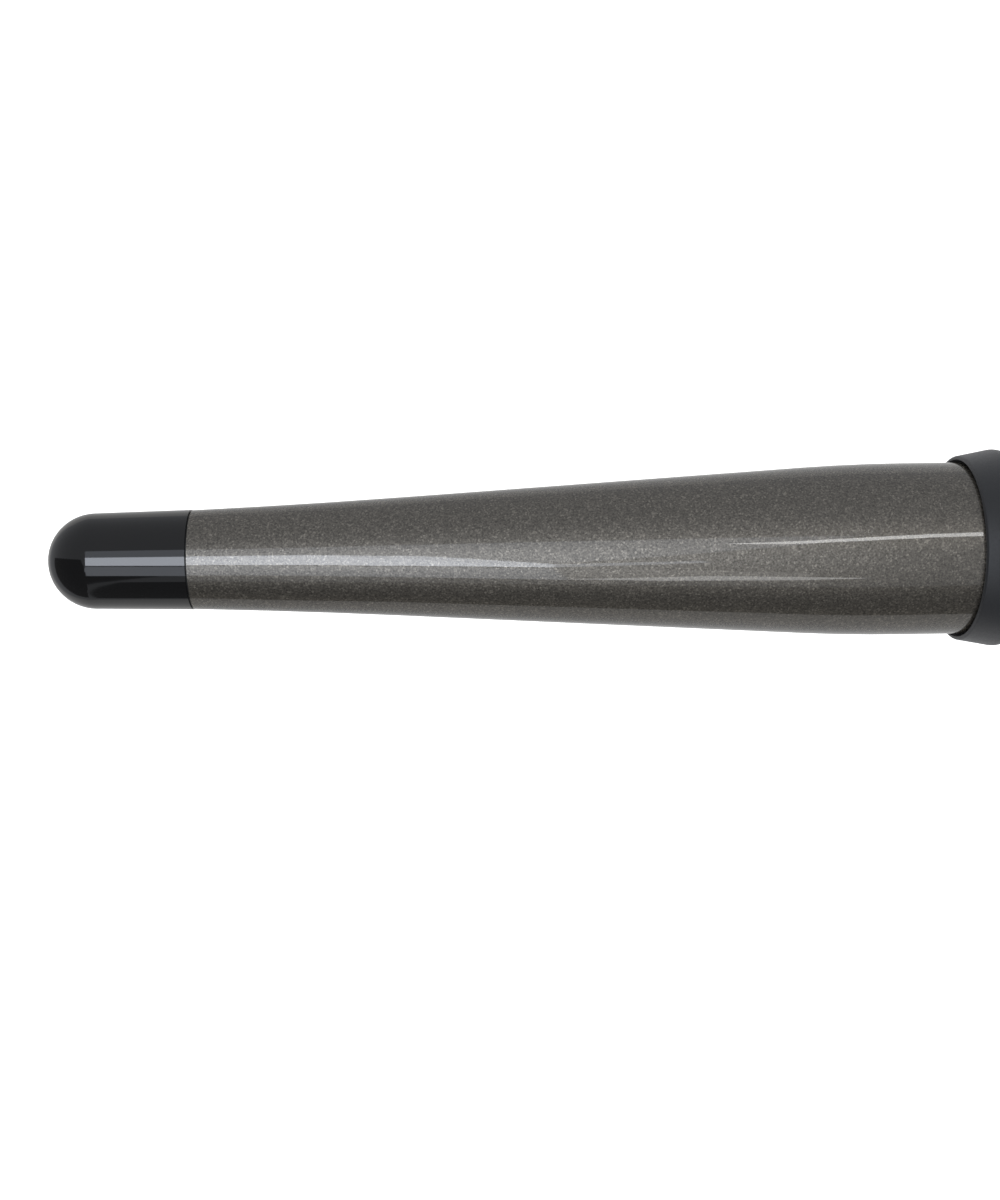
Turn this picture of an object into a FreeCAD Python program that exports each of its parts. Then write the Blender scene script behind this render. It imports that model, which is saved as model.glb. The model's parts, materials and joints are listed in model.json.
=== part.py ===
import FreeCAD, Part
import math
import os

import Sketcher

# Tapered curling wand standing on its rest stand.
# The pieces are drawn along the wand's own axis: X runs from the cool tip (-X) to the handle (+X),
# X = 0 is the front face of the guard ring, and the controls face +Z. One placement then tips the
# whole wand so that the stand's foot and the handle's end ring both touch the plane Z = 0, with the
# origin at the middle of the foot.

Vector = FreeCAD.Vector
doc = FreeCAD.newDocument("curling_wand")

# Driving dimensions in mm. Barrel stations are measured from the seam with the cool tip.
SIZES = (
    # barrel: a drawn tube that tapers to the seam
    ("barrel_length", "141.4"),
    ("barrel_tip_radius", "9.12"),
    ("barrel_root_radius", "16"),
    ("barrel_wall", "1.1"),
    ("taper_start", "19.1"),
    ("taper_start_radius", "9.81"),
    ("taper_start_blend", "18"),
    ("taper_end", "121.6"),
    ("taper_end_blend", "9.5"),
    ("root_depth", "22"),
    ("tip_seat_depth", "12"),
    # cool tip with its seal and spring clip
    ("tip_length", "26.4"),
    ("tip_seam_radius", "9.18"),
    ("tip_nose_radius", "8.6"),
    ("tip_core_radius", "5.4"),
    ("tip_core_depth", "18"),
    ("seam_gap", "0.3"),
    ("seal_recess", "0.4"),
    ("spigot_length", "9"),
    ("clip_station", "4"),
    ("clip_width", "1.4"),
    ("clip_groove", "0.9"),
    ("clip_angle", "330"),
    # heater inside the barrel
    ("heater_start", "65"),
    ("heater_length", "52"),
    ("shoe_wall", "2"),
    ("shoe_gap", "1.6"),
    ("element_inset", "2"),
    ("ptc_width", "12"),
    ("ptc_height", "2.4"),
    ("electrode_height", "0.3"),
    ("spring_gap", "0.8"),
    ("spring_width", "1.2"),
    ("spring_leaf", "0.4"),
    ("fuse_station", "20"),
    ("fuse_radius", "1.9"),
    ("fuse_length", "10"),
    ("sensor_inset", "8"),
    ("sensor_radius", "1.3"),
    ("sensor_length", "6"),
    ("heater_lead_radius", "0.9"),
    ("heater_lead_spread", "5.2"),
    ("heater_lead_rise", "4"),
    ("sensor_lead_radius", "0.35"),
    ("sensor_lead_spread", "0.8"),
    ("sensor_lead_turn", "3"),
    ("sensor_pair_spread", "0.6"),
    ("sensor_pair_drop", "3.4"),
    ("sensor_pair_inset", "2"),
    ("sensor_pair_rise", "1"),
    # barrel holder and its screws
    ("holder_grip", "14"),
    ("holder_flange", "2.6"),
    ("holder_bore_radius", "7"),
    ("holder_neck_radius", "10"),
    ("holder_collar_radius", "12"),
    ("holder_collar_width", "2.5"),
    ("washer_height", "1.5"),
    ("barrel_screw_radius", "1.2"),
    ("barrel_screw_length", "4"),
    ("barrel_screw_inset", "5"),
    # guard ring
    ("ring_gap", "0.55"),
    ("ring_length", "8.7"),
    ("ring_lip", "0.6"),
    ("ring_lip_round", "0.42"),
    ("ring_peak_x", "7.1"),
    ("ring_peak_wall", "1.95"),
    ("ring_crease_wall", "1.05"),
    ("ring_spigot_wall", "0.7"),
    ("ring_spigot_length", "4"),
    ("ring_round", "1.2"),
    # handle shells
    ("handle_length", "158"),
    ("neck_wall", "1.85"),
    ("neck_clearance", "0.6"),
    ("neck_round", "0.9"),
    ("waist_x", "55"),
    ("waist_drop", "1.1"),
    ("waist_blend", "25"),
    ("rear_radius", "18.6"),
    ("shell_wall", "1.9"),
    ("rib_width", "2.4"),
    ("bulkhead_inset", "8.5"),
    ("bulkhead_width", "2.5"),
    ("rear_step", "1.7"),
    ("rear_spigot_wall", "1.7"),
    ("rear_spigot_length", "4"),
    ("handle_boss_radius", "3.9"),
    ("handle_screw_radius", "1.4"),
    ("handle_head_radius", "2.5"),
    ("handle_head_depth", "10"),
    ("handle_head_height", "1.8"),
    ("handle_screw_grip", "11"),
    ("front_screw_x", "36.5"),
    ("rear_screw_inset", "15.5"),
    # end ring and cord swivel
    ("end_ring_length", "6.5"),
    ("end_ring_rise", "0.6"),
    ("end_round", "1.5"),
    ("gland_radius", "9"),
    ("gland_stickout", "7"),
    ("gland_round", "3"),
    ("gland_flange_radius", "11"),
    ("gland_flange_width", "2.2"),
    ("journal_radius", "6"),
    ("stem_radius", "4"),
    ("stem_length", "11"),
    ("cord_bore_radius", "3.3"),
    ("cord_bore_depth", "12"),
    ("core_bore_radius", "1.6"),
    ("slip_ring_radius", "5.4"),
    ("slip_ring_width", "3"),
    ("slip_ring_pitch", "4.5"),
    ("brush_reach", "4"),
    ("brush_height", "3"),
    ("brush_tower_wall", "2.2"),
    ("stem_end", "1.5"),
    ("supply_lead_radius", "0.8"),
    ("supply_lead_straight", "6"),
    ("supply_lead_lead_in", "5"),
    # control panel, buttons and display
    ("panel_start", "50"),
    ("panel_length", "68"),
    ("panel_half_width", "8"),
    ("panel_depth", "1.2"),
    ("panel_rise", "0.25"),
    ("power_x", "60"),
    ("plus_x", "97"),
    ("minus_x", "107.5"),
    ("power_radius", "4"),
    ("step_radius", "3.4"),
    ("button_rise", "0.7"),
    ("button_travel", "0.5"),
    ("button_flange", "1.2"),
    ("button_flange_height", "0.9"),
    ("button_stem_radius", "1.5"),
    ("window_start", "72"),
    ("window_length", "16"),
    ("window_half_width", "4"),
    ("display_half_width", "5"),
    ("display_gap", "1.5"),
    # circuit board and what it carries
    ("board_start", "43"),
    ("board_inset", "20"),
    ("board_half_width", "11"),
    ("board_z", "3.4"),
    ("board_height", "1.6"),
    ("board_screw_inset", "5.5"),
    ("board_screw_y", "8.5"),
    ("board_screw_radius", "0.9"),
    ("board_head_radius", "1.9"),
    ("board_head_height", "1.2"),
    ("board_screw_grip", "5"),
    ("board_boss_radius", "2.1"),
    ("switch_width", "6"),
    ("switch_height", "3.5"),
    ("plunger_radius", "1.7"),
    ("plunger_rise", "0.7"),
    ("plunger_length", "2.4"),
    ("terminal_height", "4"),
    ("terminal_half_width", "7"),
    ("terminal_length", "6"),
    ("terminal_inset", "8"),
    ("supply_inset", "9"),
    ("connector_length", "5"),
    ("connector_width", "5"),
    ("connector_y", "3"),
    ("connector_height", "3"),
    ("connector_wire_drop", "1.5"),
    ("triac_station", "12"),
    ("triac_length", "9"),
    ("triac_width", "10"),
    ("triac_y", "-8"),
    ("triac_height", "4.5"),
    ("chip_station", "22"),
    ("chip_width", "7"),
    ("chip_height", "1.2"),
    ("capacitor_station", "31"),
    ("capacitor_length", "14"),
    ("capacitor_radius", "4"),
    # rest stand: a flap that hangs from two lugs under the handle's neck
    ("stand_x", "16"),
    ("stand_drop", "2.6"),
    ("foot_drop", "4.2"),
    ("foot_x", "4"),
    ("foot_length", "3"),
    ("foot_width", "18"),
    ("foot_height", "3.2"),
    ("foot_block", "5.5"),
    ("toe_round", "1.2"),
    ("stop_inset", "1"),
    ("stop_length", "3.5"),
    ("lug_span", "17"),
    ("lug_slot", "11"),
    ("lug_radius", "3.2"),
    ("lug_root", "3"),
    ("knuckle_radius", "2.3"),
    ("stand_pin_radius", "1"),
    ("stop_gap", "0.1"),
    # named clearances, and how far a cut runs past the surface it opens
    ("fit", "0.05"),
    ("loose", "0.3"),
    ("over_cut", "2"),
)
sheet = doc.addObject("Spreadsheet::Sheet", "Size")
for row, (alias, size) in enumerate(SIZES, 1):
    sheet.set(f"A{row}", alias)
    sheet.set(f"B{row}", size)
    sheet.setAlias(f"B{row}", alias)
doc.recompute()

# Stations and radii that follow from the driving dimensions, as expressions.
SEAM = "(-Size.barrel_length)"
TIP_SEAT = "(Size.barrel_tip_radius - Size.barrel_wall)"
ROOT_BORE = "(Size.barrel_root_radius - Size.barrel_wall)"
SPIGOT = f"({TIP_SEAT} - Size.fit)"
RING_BORE = "(Size.barrel_root_radius + Size.ring_gap)"
RING_SPIGOT = f"({RING_BORE} + Size.ring_spigot_wall)"
HANDLE_FRONT = "(Size.ring_length + Size.fit)"
HANDLE_REAR = "(Size.ring_length + Size.handle_length)"
NECK = f"({RING_BORE} + Size.neck_wall)"
NECK_BORE = "(Size.barrel_root_radius + Size.neck_clearance)"
WAIST = f"({NECK} - Size.waist_drop)"
FLANGE_END = "(Size.root_depth + Size.holder_flange)"
RIB_FRONT = f"({FLANGE_END} + Size.fit)"
RIB_REAR = f"({RIB_FRONT} + Size.rib_width)"
BULKHEAD = f"({HANDLE_REAR} - Size.bulkhead_inset)"
BULKHEAD_REAR = f"({BULKHEAD} + Size.bulkhead_width)"
REAR_SCREW_X = f"({BULKHEAD} - Size.rear_screw_inset)"
BOARD_END = f"({BULKHEAD} - Size.board_inset)"
BOARD_TOP = "(Size.board_z + Size.board_height)"
SWITCH_TOP = f"({BOARD_TOP} + Size.switch_height)"
REAR_SPIGOT = "(Size.rear_radius - Size.rear_step)"
REAR_ROOM = f"({REAR_SPIGOT} - Size.rear_spigot_wall)"
END_RING = "(Size.rear_radius + Size.end_ring_rise)"
END_FACE = f"({HANDLE_REAR} + Size.end_ring_length)"
STEM_FRONT = f"({BULKHEAD} - Size.stem_length)"
HEATER_FRONT = f"({SEAM} + Size.heater_start)"
HEATER_REAR = f"({HEATER_FRONT} + Size.heater_length)"
STAND_Z = f"(-({NECK} + Size.stand_drop))"
FOOT_Z = f"({STAND_Z} - Size.foot_drop)"

# The wand tips about the foot until the end ring's rounded edge reaches the same plane.
EDGE_RUN = f"({END_FACE} - Size.end_round - Size.foot_x)"
EDGE_RISE = f"(-{FOOT_Z} - {END_RING} + Size.end_round)"
EDGE_REACH = f"sqrt({EDGE_RUN}^2 + {EDGE_RISE}^2)"
TILT = f"(atan2({EDGE_RISE}; {EDGE_RUN}) - asin(Size.end_round / {EDGE_REACH}))"


def barrel_bore(x):
    """Radius of the barrel's tapered bore at station x."""
    run = "(Size.taper_end - Size.tip_seat_depth)"
    return f"({TIP_SEAT} + ({ROOT_BORE} - {TIP_SEAT}) * ({x} - {SEAM} - Size.tip_seat_depth) / {run})"


def handle_radius(x):
    """Outer radius of the handle at station x, behind the waist."""
    run = f"({HANDLE_REAR} - Size.waist_x)"
    return f"({WAIST} + (Size.rear_radius - {WAIST}) * ({x} - Size.waist_x) / {run})"


def handle_bore(x):
    return f"({handle_radius(x)} - Size.shell_wall)"


def number(expression):
    """Value of an expression, for the few shapes that are not sketched."""
    value = sheet.evalExpression(expression)
    return float(getattr(value, "Value", value))


def new_body(name):
    """A piece of its own; every piece shares the barrel's placement."""
    body = doc.addObject("PartDesign::Body", name)
    body.Label = name
    body.AllowCompound = True
    if name != "barrel":
        body.setExpression("Placement", "barrel.Placement")
    return body


def new_sketch(body, role, height):
    """Sketch on an origin plane of the body, raised along the plane's normal."""
    sketch = body.newObject("Sketcher::SketchObject", f"{body.Name}_sketch")
    plane = next(item for item in body.Origin.OriginFeatures if item.Role == role)
    sketch.AttachmentSupport = [(plane, "")]
    sketch.MapMode = "FlatFace"
    if height:
        sketch.setExpression("AttachmentOffset.Base.z", height)
    return sketch


def dimension(sketch, kind, *item):
    """Driving constraint whose value is bound to an expression."""
    *references, expression = item
    index = sketch.addConstraint(Sketcher.Constraint(kind, *references, number(expression)))
    sketch.setExpression(f"Constraints[{index}]", expression)


def outline(body, role, corners, height=None):
    """Closed outline through corners (x, y) or (x, y, setback); a setback rounds that corner."""
    sketch = new_sketch(body, role, height)
    points = [Vector(number(corner[0]), number(corner[1]), 0) for corner in corners]
    setbacks = [number(corner[2]) if len(corner) > 2 else 0.0 for corner in corners]
    count = len(points)
    lines = []
    for index in range(count):
        here, after = points[index], points[(index + 1) % count]
        along = (after - here).normalize()
        start = here + along * setbacks[index]
        end = after - along * setbacks[(index + 1) % count]
        lines.append(sketch.addGeometry(Part.LineSegment(start, end), False))
    for index in range(count):
        before, after = lines[index - 1], lines[index]
        if setbacks[index]:
            place = round_corner(sketch, before, after, points, index, setbacks[index])
            dimension(sketch, "Distance", place, 1, before, 2, corners[index][2])
        else:
            sketch.addConstraint(Sketcher.Constraint("Coincident", before, 2, after, 1))
            place = after
        dimension(sketch, "DistanceX", -1, 1, place, 1, corners[index][0])
        dimension(sketch, "DistanceY", -1, 1, place, 1, corners[index][1])
    return sketch


def round_corner(sketch, before, after, points, index, setback):
    """Tangent arc between two lines; returns the point that keeps the sharp corner's place."""
    corner = points[index]
    back = (points[index - 1] - corner).normalize()
    ahead = (points[(index + 1) % len(points)] - corner).normalize()
    half = back.getAngle(ahead) / 2
    radius = setback * math.tan(half)
    centre = corner + (back + ahead).normalize() * (setback / math.cos(half))
    left_turn = back.cross(ahead).z < 0
    first = corner + (back if left_turn else ahead) * setback
    last = corner + (ahead if left_turn else back) * setback
    angles = [math.atan2(end.y - centre.y, end.x - centre.x) for end in (first, last)]
    circle = Part.Circle(centre, Vector(0, 0, 1), radius)
    arc = sketch.addGeometry(Part.ArcOfCircle(circle, *angles), False)
    entry = 1 if left_turn else 2
    sharp = sketch.addGeometry(Part.Point(corner), True)
    sketch.addConstraint([
        Sketcher.Constraint("Tangent", before, 2, arc, entry),
        Sketcher.Constraint("Tangent", arc, 3 - entry, after, 1),
        Sketcher.Constraint("PointOnObject", sharp, 1, before),
        Sketcher.Constraint("PointOnObject", sharp, 1, after),
    ])
    return sharp


def rectangle(body, role, x_range, y_range, height=None):
    (left, right), (low, high) = x_range, y_range
    return outline(body, role, [(left, low), (right, low), (right, high), (left, high)], height)


def circles(body, role, centres, radius, height=None):
    sketch = new_sketch(body, role, height)
    for x, y in centres:
        circle = Part.Circle(Vector(number(x), number(y), 0), Vector(0, 0, 1), number(radius))
        index = sketch.addGeometry(circle, False)
        dimension(sketch, "Radius", index, radius)
        dimension(sketch, "DistanceX", -1, 1, index, 3, x)
        dimension(sketch, "DistanceY", -1, 1, index, 3, y)
    return sketch


def volume_of(body):
    return 0 if body.Shape.isNull() else body.Shape.Volume


def extrude(body, sketch, length=None, removes=False, symmetric=False, downward=False):
    """Pad or pocket; upward along the plane's normal unless downward; no length goes through all."""
    before = volume_of(body)
    kind = "Pocket" if removes else "Pad"
    feature = body.newObject(f"PartDesign::{kind}", f"{body.Name}_{kind.lower()}")
    feature.Profile = (sketch, [""])
    if length:
        feature.setExpression("Length", length)
    else:
        feature.Type = "ThroughAll"
    feature.SideType = "Symmetric" if symmetric else "One side"
    feature.Reversed = downward != removes
    check_volume(body, feature, before, removes)


def turn(body, corners, angle="360", removes=False):
    """Revolution or groove about the wand's axis, half of its angle to each side of +Z."""
    before = volume_of(body)
    sketch = outline(body, "XZ_Plane", corners)
    kind = "Groove" if removes else "Revolution"
    feature = body.newObject(f"PartDesign::{kind}", f"{body.Name}_{kind.lower()}")
    feature.Profile = (sketch, [""])
    feature.ReferenceAxis = (sketch, ["H_Axis"])
    feature.Midplane = True
    feature.setExpression("Angle", angle)
    check_volume(body, feature, before, removes)


def check_volume(body, feature, before, removes):
    """Stop when a feature failed, or when it added nothing or cut nothing."""
    doc.recompute()
    change = volume_of(body) - before
    if "Up-to-date" not in feature.State or change * (-1 if removes else 1) <= 0:
        raise RuntimeError(f"{feature.Name} changed {body.Name} by {change:.3f} mm3, {feature.State}")


def block(body, x_range, y_range, z_low, z_high):
    """Rectangular block standing on height z_low."""
    sketch = rectangle(body, "XY_Plane", x_range, y_range, z_low)
    extrude(body, sketch, f"({z_high}) - ({z_low})")


def both_sides(half_width):
    return (f"-({half_width})", half_width)


def sector_angle(half_width, radius):
    return f"2 * asin(({half_width}) / ({radius}))"


# ---------------------------------------------------------------------------------------------
# Barrel: drawn aluminium tube, tapered towards the tip, with four screw holes at its root
barrel = new_body("barrel")
barrel.Placement = FreeCAD.Placement(Vector(), FreeCAD.Rotation(Vector(0, 1, 0), 0))
barrel.setExpression("Placement.Rotation.Angle", TILT)
barrel.setExpression("Placement.Base.x", f"-cos({TILT}) * Size.foot_x - sin({TILT}) * {FOOT_Z}")
barrel.setExpression("Placement.Base.z", f"sin({TILT}) * Size.foot_x - cos({TILT}) * {FOOT_Z}")
turn(barrel, [
    (SEAM, TIP_SEAT),
    (SEAM, "Size.barrel_tip_radius"),
    (f"{SEAM} + Size.taper_start", "Size.taper_start_radius", "Size.taper_start_blend"),
    (f"{SEAM} + Size.taper_end", "Size.barrel_root_radius", "Size.taper_end_blend"),
    ("Size.root_depth", "Size.barrel_root_radius"),
    ("Size.root_depth", ROOT_BORE),
    (f"{SEAM} + Size.taper_end", ROOT_BORE),
    (f"{SEAM} + Size.tip_seat_depth", TIP_SEAT),
])
BARREL_SCREW_X = "(Size.root_depth - Size.barrel_screw_inset)"
SCREW_HOLE = "Size.barrel_screw_radius + Size.fit"
for role in ("XY_Plane", "XZ_Plane"):
    hole = circles(barrel, role, [(BARREL_SCREW_X, "0")], SCREW_HOLE)
    extrude(barrel, hole, removes=True, symmetric=True)

# Cool tip: moulded cap with a round nose, a hollow core and a grooved spigot inside the barrel
CLIP_X = f"({SEAM} + Size.clip_station)"
CLIP_END = f"({CLIP_X} + Size.clip_width)"
GROOVE_FLOOR = f"({SPIGOT} - Size.clip_groove)"
NOSE = f"({SEAM} - Size.tip_length)"
TIP_FACE = f"({SEAM} - Size.seam_gap)"
cool_tip = new_body("cool_tip")
turn(cool_tip, [
    (NOSE, "0"),
    (NOSE, "Size.tip_nose_radius", "Size.tip_nose_radius - Size.fit"),
    (TIP_FACE, "Size.tip_seam_radius"),
    (TIP_FACE, SPIGOT),
    (CLIP_X, SPIGOT),
    (CLIP_X, GROOVE_FLOOR),
    (CLIP_END, GROOVE_FLOOR),
    (CLIP_END, SPIGOT),
    (f"{SEAM} + Size.spigot_length", SPIGOT),
    (f"{SEAM} + Size.spigot_length", "Size.tip_core_radius"),
    (f"{SEAM} - Size.tip_core_depth", "Size.tip_core_radius"),
    (f"{SEAM} - Size.tip_core_depth", "0"),
])

# Tip seal: silicone washer squeezed in the seam, a little below the surface
tip_seal = new_body("tip_seal")
SEAL_EDGE = "Size.barrel_tip_radius - Size.seal_recess"
turn(tip_seal, [(TIP_FACE, TIP_SEAT), (TIP_FACE, SEAL_EDGE), (SEAM, SEAL_EDGE), (SEAM, TIP_SEAT)])

# Tip clip: open spring ring in the spigot's groove, gripping the barrel's bore
tip_clip = new_body("tip_clip")
CLIP_IN = f"{GROOVE_FLOOR} + Size.fit"
CLIP_OUT = f"{TIP_SEAT} - Size.fit"
CLIP_LEFT = f"{CLIP_X} + Size.fit"
CLIP_RIGHT = f"{CLIP_END} - Size.fit"
turn(tip_clip, [
    (CLIP_LEFT, CLIP_IN),
    (CLIP_LEFT, CLIP_OUT),
    (CLIP_RIGHT, CLIP_OUT),
    (CLIP_RIGHT, CLIP_IN),
], angle="Size.clip_angle")

# ---------------------------------------------------------------------------------------------
# Heater shoes: two half-round aluminium shoes that carry the heat to the barrel's bore
PLATE = "(Size.shoe_gap + Size.shoe_wall)"


def shoe_radius(x):
    return f"({barrel_bore(x)} - 2 * Size.fit)"


def heater_shoe(name, side):
    body = new_body(name)
    front, rear = shoe_radius(HEATER_FRONT), shoe_radius(HEATER_REAR)
    turn(body, [
        (HEATER_FRONT, f"{front} - Size.shoe_wall"),
        (HEATER_FRONT, front),
        (HEATER_REAR, rear),
        (HEATER_REAR, f"{rear} - Size.shoe_wall"),
    ])
    edge = "- Size.shoe_wall / 2"
    plan = outline(body, "XY_Plane", [
        (HEATER_FRONT, f"-({front} {edge})"),
        (HEATER_REAR, f"-({rear} {edge})"),
        (HEATER_REAR, f"{rear} {edge}"),
        (HEATER_FRONT, f"{front} {edge}"),
    ])
    extrude(body, plan, PLATE, downward=side < 0)
    far = f"{-side} * Size.barrel_root_radius"
    near = f"{side} * Size.shoe_gap"
    low, high = (far, near) if side > 0 else (near, far)
    other_half = rectangle(body, "XZ_Plane", (HEATER_FRONT, HEATER_REAR), (low, high))
    extrude(body, other_half, "2 * Size.barrel_root_radius", removes=True, symmetric=True)


heater_shoe("heater_shoe_upper", 1)
heater_shoe("heater_shoe_lower", -1)

# PTC element between two brass electrodes, and the wavy springs that push the shoes apart
ELEMENT = (f"{HEATER_FRONT} + Size.element_inset", f"{HEATER_REAR} - Size.element_inset")
HALF_PTC = "Size.ptc_height / 2"
ptc_element = new_body("ptc_element")
block(ptc_element, ELEMENT, both_sides("Size.ptc_width / 2"), f"-{HALF_PTC}", HALF_PTC)

heater_electrodes = new_body("heater_electrodes")
ELECTRODE_TOP = f"{HALF_PTC} + Size.electrode_height"
ELECTRODE_WIDTH = both_sides("Size.ptc_width / 2")
block(heater_electrodes, ELEMENT, ELECTRODE_WIDTH, HALF_PTC, ELECTRODE_TOP)
block(heater_electrodes, ELEMENT, ELECTRODE_WIDTH, f"-({ELECTRODE_TOP})", f"-{HALF_PTC}")

WAVES = 8
ELEMENT_LENGTH = "(Size.heater_length - 2 * Size.element_inset)"
SPRING_INNER = "(Size.ptc_width / 2 + Size.spring_gap)"
SPRING_OUTER = f"({SPRING_INNER} + Size.spring_width)"
SPRING_CREST = "(Size.shoe_gap - 2 * Size.fit)"
shoe_springs = new_body("shoe_springs")
wave_upper, wave_lower = [], []
for step in range(WAVES + 1):
    x = f"{ELEMENT[0]} + {ELEMENT_LENGTH} * {step} / {WAVES}"
    on_crest = step % 2
    wave_upper.append((x, SPRING_CREST if on_crest else f"-{SPRING_CREST} + Size.spring_leaf"))
    wave_lower.append((x, f"{SPRING_CREST} - Size.spring_leaf" if on_crest else f"-{SPRING_CREST}"))
wave = outline(shoe_springs, "XZ_Plane", wave_upper + wave_lower[::-1])
extrude(shoe_springs, wave, f"2 * {SPRING_OUTER}", symmetric=True)
between = rectangle(shoe_springs, "XZ_Plane", (HEATER_FRONT, HEATER_REAR), both_sides("Size.shoe_gap"))
extrude(shoe_springs, between, f"2 * {SPRING_INNER}", removes=True, symmetric=True)

# Thermal fuse on the upper shoe's plate, temperature sensor under the lower one
def rod_along_axis(name, x_range, y, z, radius):
    """Round rod parallel to the wand's axis, padded from the plane across it."""
    body = new_body(name)
    end = circles(body, "YZ_Plane", [(y, z)], radius, x_range[0])
    extrude(body, end, f"({x_range[1]}) - ({x_range[0]})")


FUSE_X = f"{HEATER_FRONT} + Size.fuse_station"
rod_along_axis("thermal_fuse", (FUSE_X, f"{FUSE_X} + Size.fuse_length"), "0",
               f"{PLATE} + Size.fuse_radius + Size.fit", "Size.fuse_radius")
SENSOR_END = f"({HEATER_REAR} - Size.sensor_inset)"
SENSOR_Z = f"(-{PLATE} - Size.sensor_radius - Size.fit)"
rod_along_axis("temperature_sensor", (f"{SENSOR_END} - Size.sensor_length", SENSOR_END), "0",
               SENSOR_Z, "Size.sensor_radius")

# ---------------------------------------------------------------------------------------------
# Barrel holder: heat-proof moulding that plugs the barrel's root and hangs on the shells' rib
HOLDER_FRONT = "(Size.root_depth - Size.holder_grip)"
HOLDER_RADIUS = f"({ROOT_BORE} - Size.fit)"
COLLAR_FRONT = f"({RIB_REAR} + Size.fit)"
COLLAR_REAR = f"({COLLAR_FRONT} + Size.holder_collar_width)"
barrel_holder = new_body("barrel_holder")
turn(barrel_holder, [
    (HOLDER_FRONT, "Size.holder_bore_radius"),
    (HOLDER_FRONT, HOLDER_RADIUS),
    ("Size.root_depth", HOLDER_RADIUS),
    ("Size.root_depth", "Size.barrel_root_radius"),
    (FLANGE_END, "Size.barrel_root_radius"),
    (FLANGE_END, "Size.holder_neck_radius"),
    (COLLAR_FRONT, "Size.holder_neck_radius"),
    (COLLAR_FRONT, "Size.holder_collar_radius"),
    (COLLAR_REAR, "Size.holder_collar_radius"),
    (COLLAR_REAR, "Size.holder_bore_radius"),
])
for role in ("XY_Plane", "XZ_Plane"):
    hole = circles(barrel_holder, role, [(BARREL_SCREW_X, "0")], SCREW_HOLE)
    extrude(barrel_holder, hole, removes=True, symmetric=True)

# Mica washer in front of the holder keeps the heater's heat out of the handle
mica_washer = new_body("mica_washer")
WASHER_FRONT = f"({HOLDER_FRONT} - Size.washer_height)"
turn(mica_washer, [
    (WASHER_FRONT, "Size.holder_bore_radius"),
    (WASHER_FRONT, HOLDER_RADIUS),
    (HOLDER_FRONT, HOLDER_RADIUS),
    (HOLDER_FRONT, "Size.holder_bore_radius"),
])

# Barrel screws: four set screws through the barrel's root into the holder
barrel_screws = new_body("barrel_screws")
SCREW_HEAD = "Size.barrel_root_radius"
for role in ("XY_Plane", "XZ_Plane"):
    shank = circles(barrel_screws, role, [(BARREL_SCREW_X, "0")], "Size.barrel_screw_radius")
    extrude(barrel_screws, shank, f"2 * {SCREW_HEAD}", symmetric=True)
turn(barrel_screws, [
    ("0", "0"),
    ("0", f"{SCREW_HEAD} - Size.barrel_screw_length"),
    ("Size.root_depth", f"{SCREW_HEAD} - Size.barrel_screw_length"),
    ("Size.root_depth", "0"),
], removes=True)

# Guard ring: flared collar with an air gap round the barrel and a spigot under the shells
guard_ring = new_body("guard_ring")
turn(guard_ring, [
    ("0", RING_BORE),
    ("0", f"{RING_BORE} + Size.ring_lip", "Size.ring_lip_round"),
    ("Size.ring_peak_x", f"{RING_BORE} + Size.ring_peak_wall", "Size.ring_round"),
    ("Size.ring_length", f"{RING_BORE} + Size.ring_crease_wall"),
    ("Size.ring_length", RING_SPIGOT),
    ("Size.ring_length + Size.ring_spigot_length", RING_SPIGOT),
    ("Size.ring_length + Size.ring_spigot_length", RING_BORE),
])

# ---------------------------------------------------------------------------------------------
# Handle shells: two half shells that meet on the plane through the axis
REBATE = f"({RING_SPIGOT} + Size.fit)"
REBATE_END = "(Size.ring_length + Size.ring_spigot_length + Size.fit)"
SPIGOT_REAR = f"({HANDLE_REAR} + Size.rear_spigot_length)"
JOURNAL_BORE = "(Size.journal_radius + Size.fit)"
RIB_BORE = "(Size.holder_neck_radius + Size.fit)"
SCREW_SPOTS = [("Size.front_screw_x", "0"), (REAR_SCREW_X, "0")]
BOSS_REACH = (f"{WAIST} - Size.shell_wall", handle_bore(REAR_SCREW_X))


def solid_half(body, side):
    """Outer form of a shell, still solid; side is 1 for the upper and -1 for the lower one."""
    turn(body, [
        (HANDLE_FRONT, "0"),
        (HANDLE_FRONT, f"{side} * {NECK}", "Size.neck_round"),
        ("Size.waist_x", f"{side} * {WAIST}", "Size.waist_blend"),
        (HANDLE_REAR, f"{side} * Size.rear_radius", "Size.neck_round / 2"),
        (HANDLE_REAR, f"{side} * {REAR_SPIGOT}"),
        (SPIGOT_REAR, f"{side} * {REAR_SPIGOT}"),
        (SPIGOT_REAR, "0"),
    ], angle="180")


def hollow(body):
    """Room inside the shell, with the rib for the holder and the bulkhead for the swivel."""
    turn(body, [
        (HANDLE_FRONT, "0"),
        (HANDLE_FRONT, REBATE),
        (REBATE_END, REBATE),
        (REBATE_END, NECK_BORE),
        (RIB_FRONT, NECK_BORE),
        (RIB_FRONT, RIB_BORE),
        (RIB_REAR, RIB_BORE),
        (RIB_REAR, f"{WAIST} - Size.shell_wall"),
        ("Size.waist_x", f"{WAIST} - Size.shell_wall"),
        (BULKHEAD, handle_bore(BULKHEAD)),
        (BULKHEAD, JOURNAL_BORE),
        (BULKHEAD_REAR, JOURNAL_BORE),
        (BULKHEAD_REAR, REAR_ROOM),
        (SPIGOT_REAR, REAR_ROOM),
        (SPIGOT_REAR, "0"),
    ], removes=True)


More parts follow.
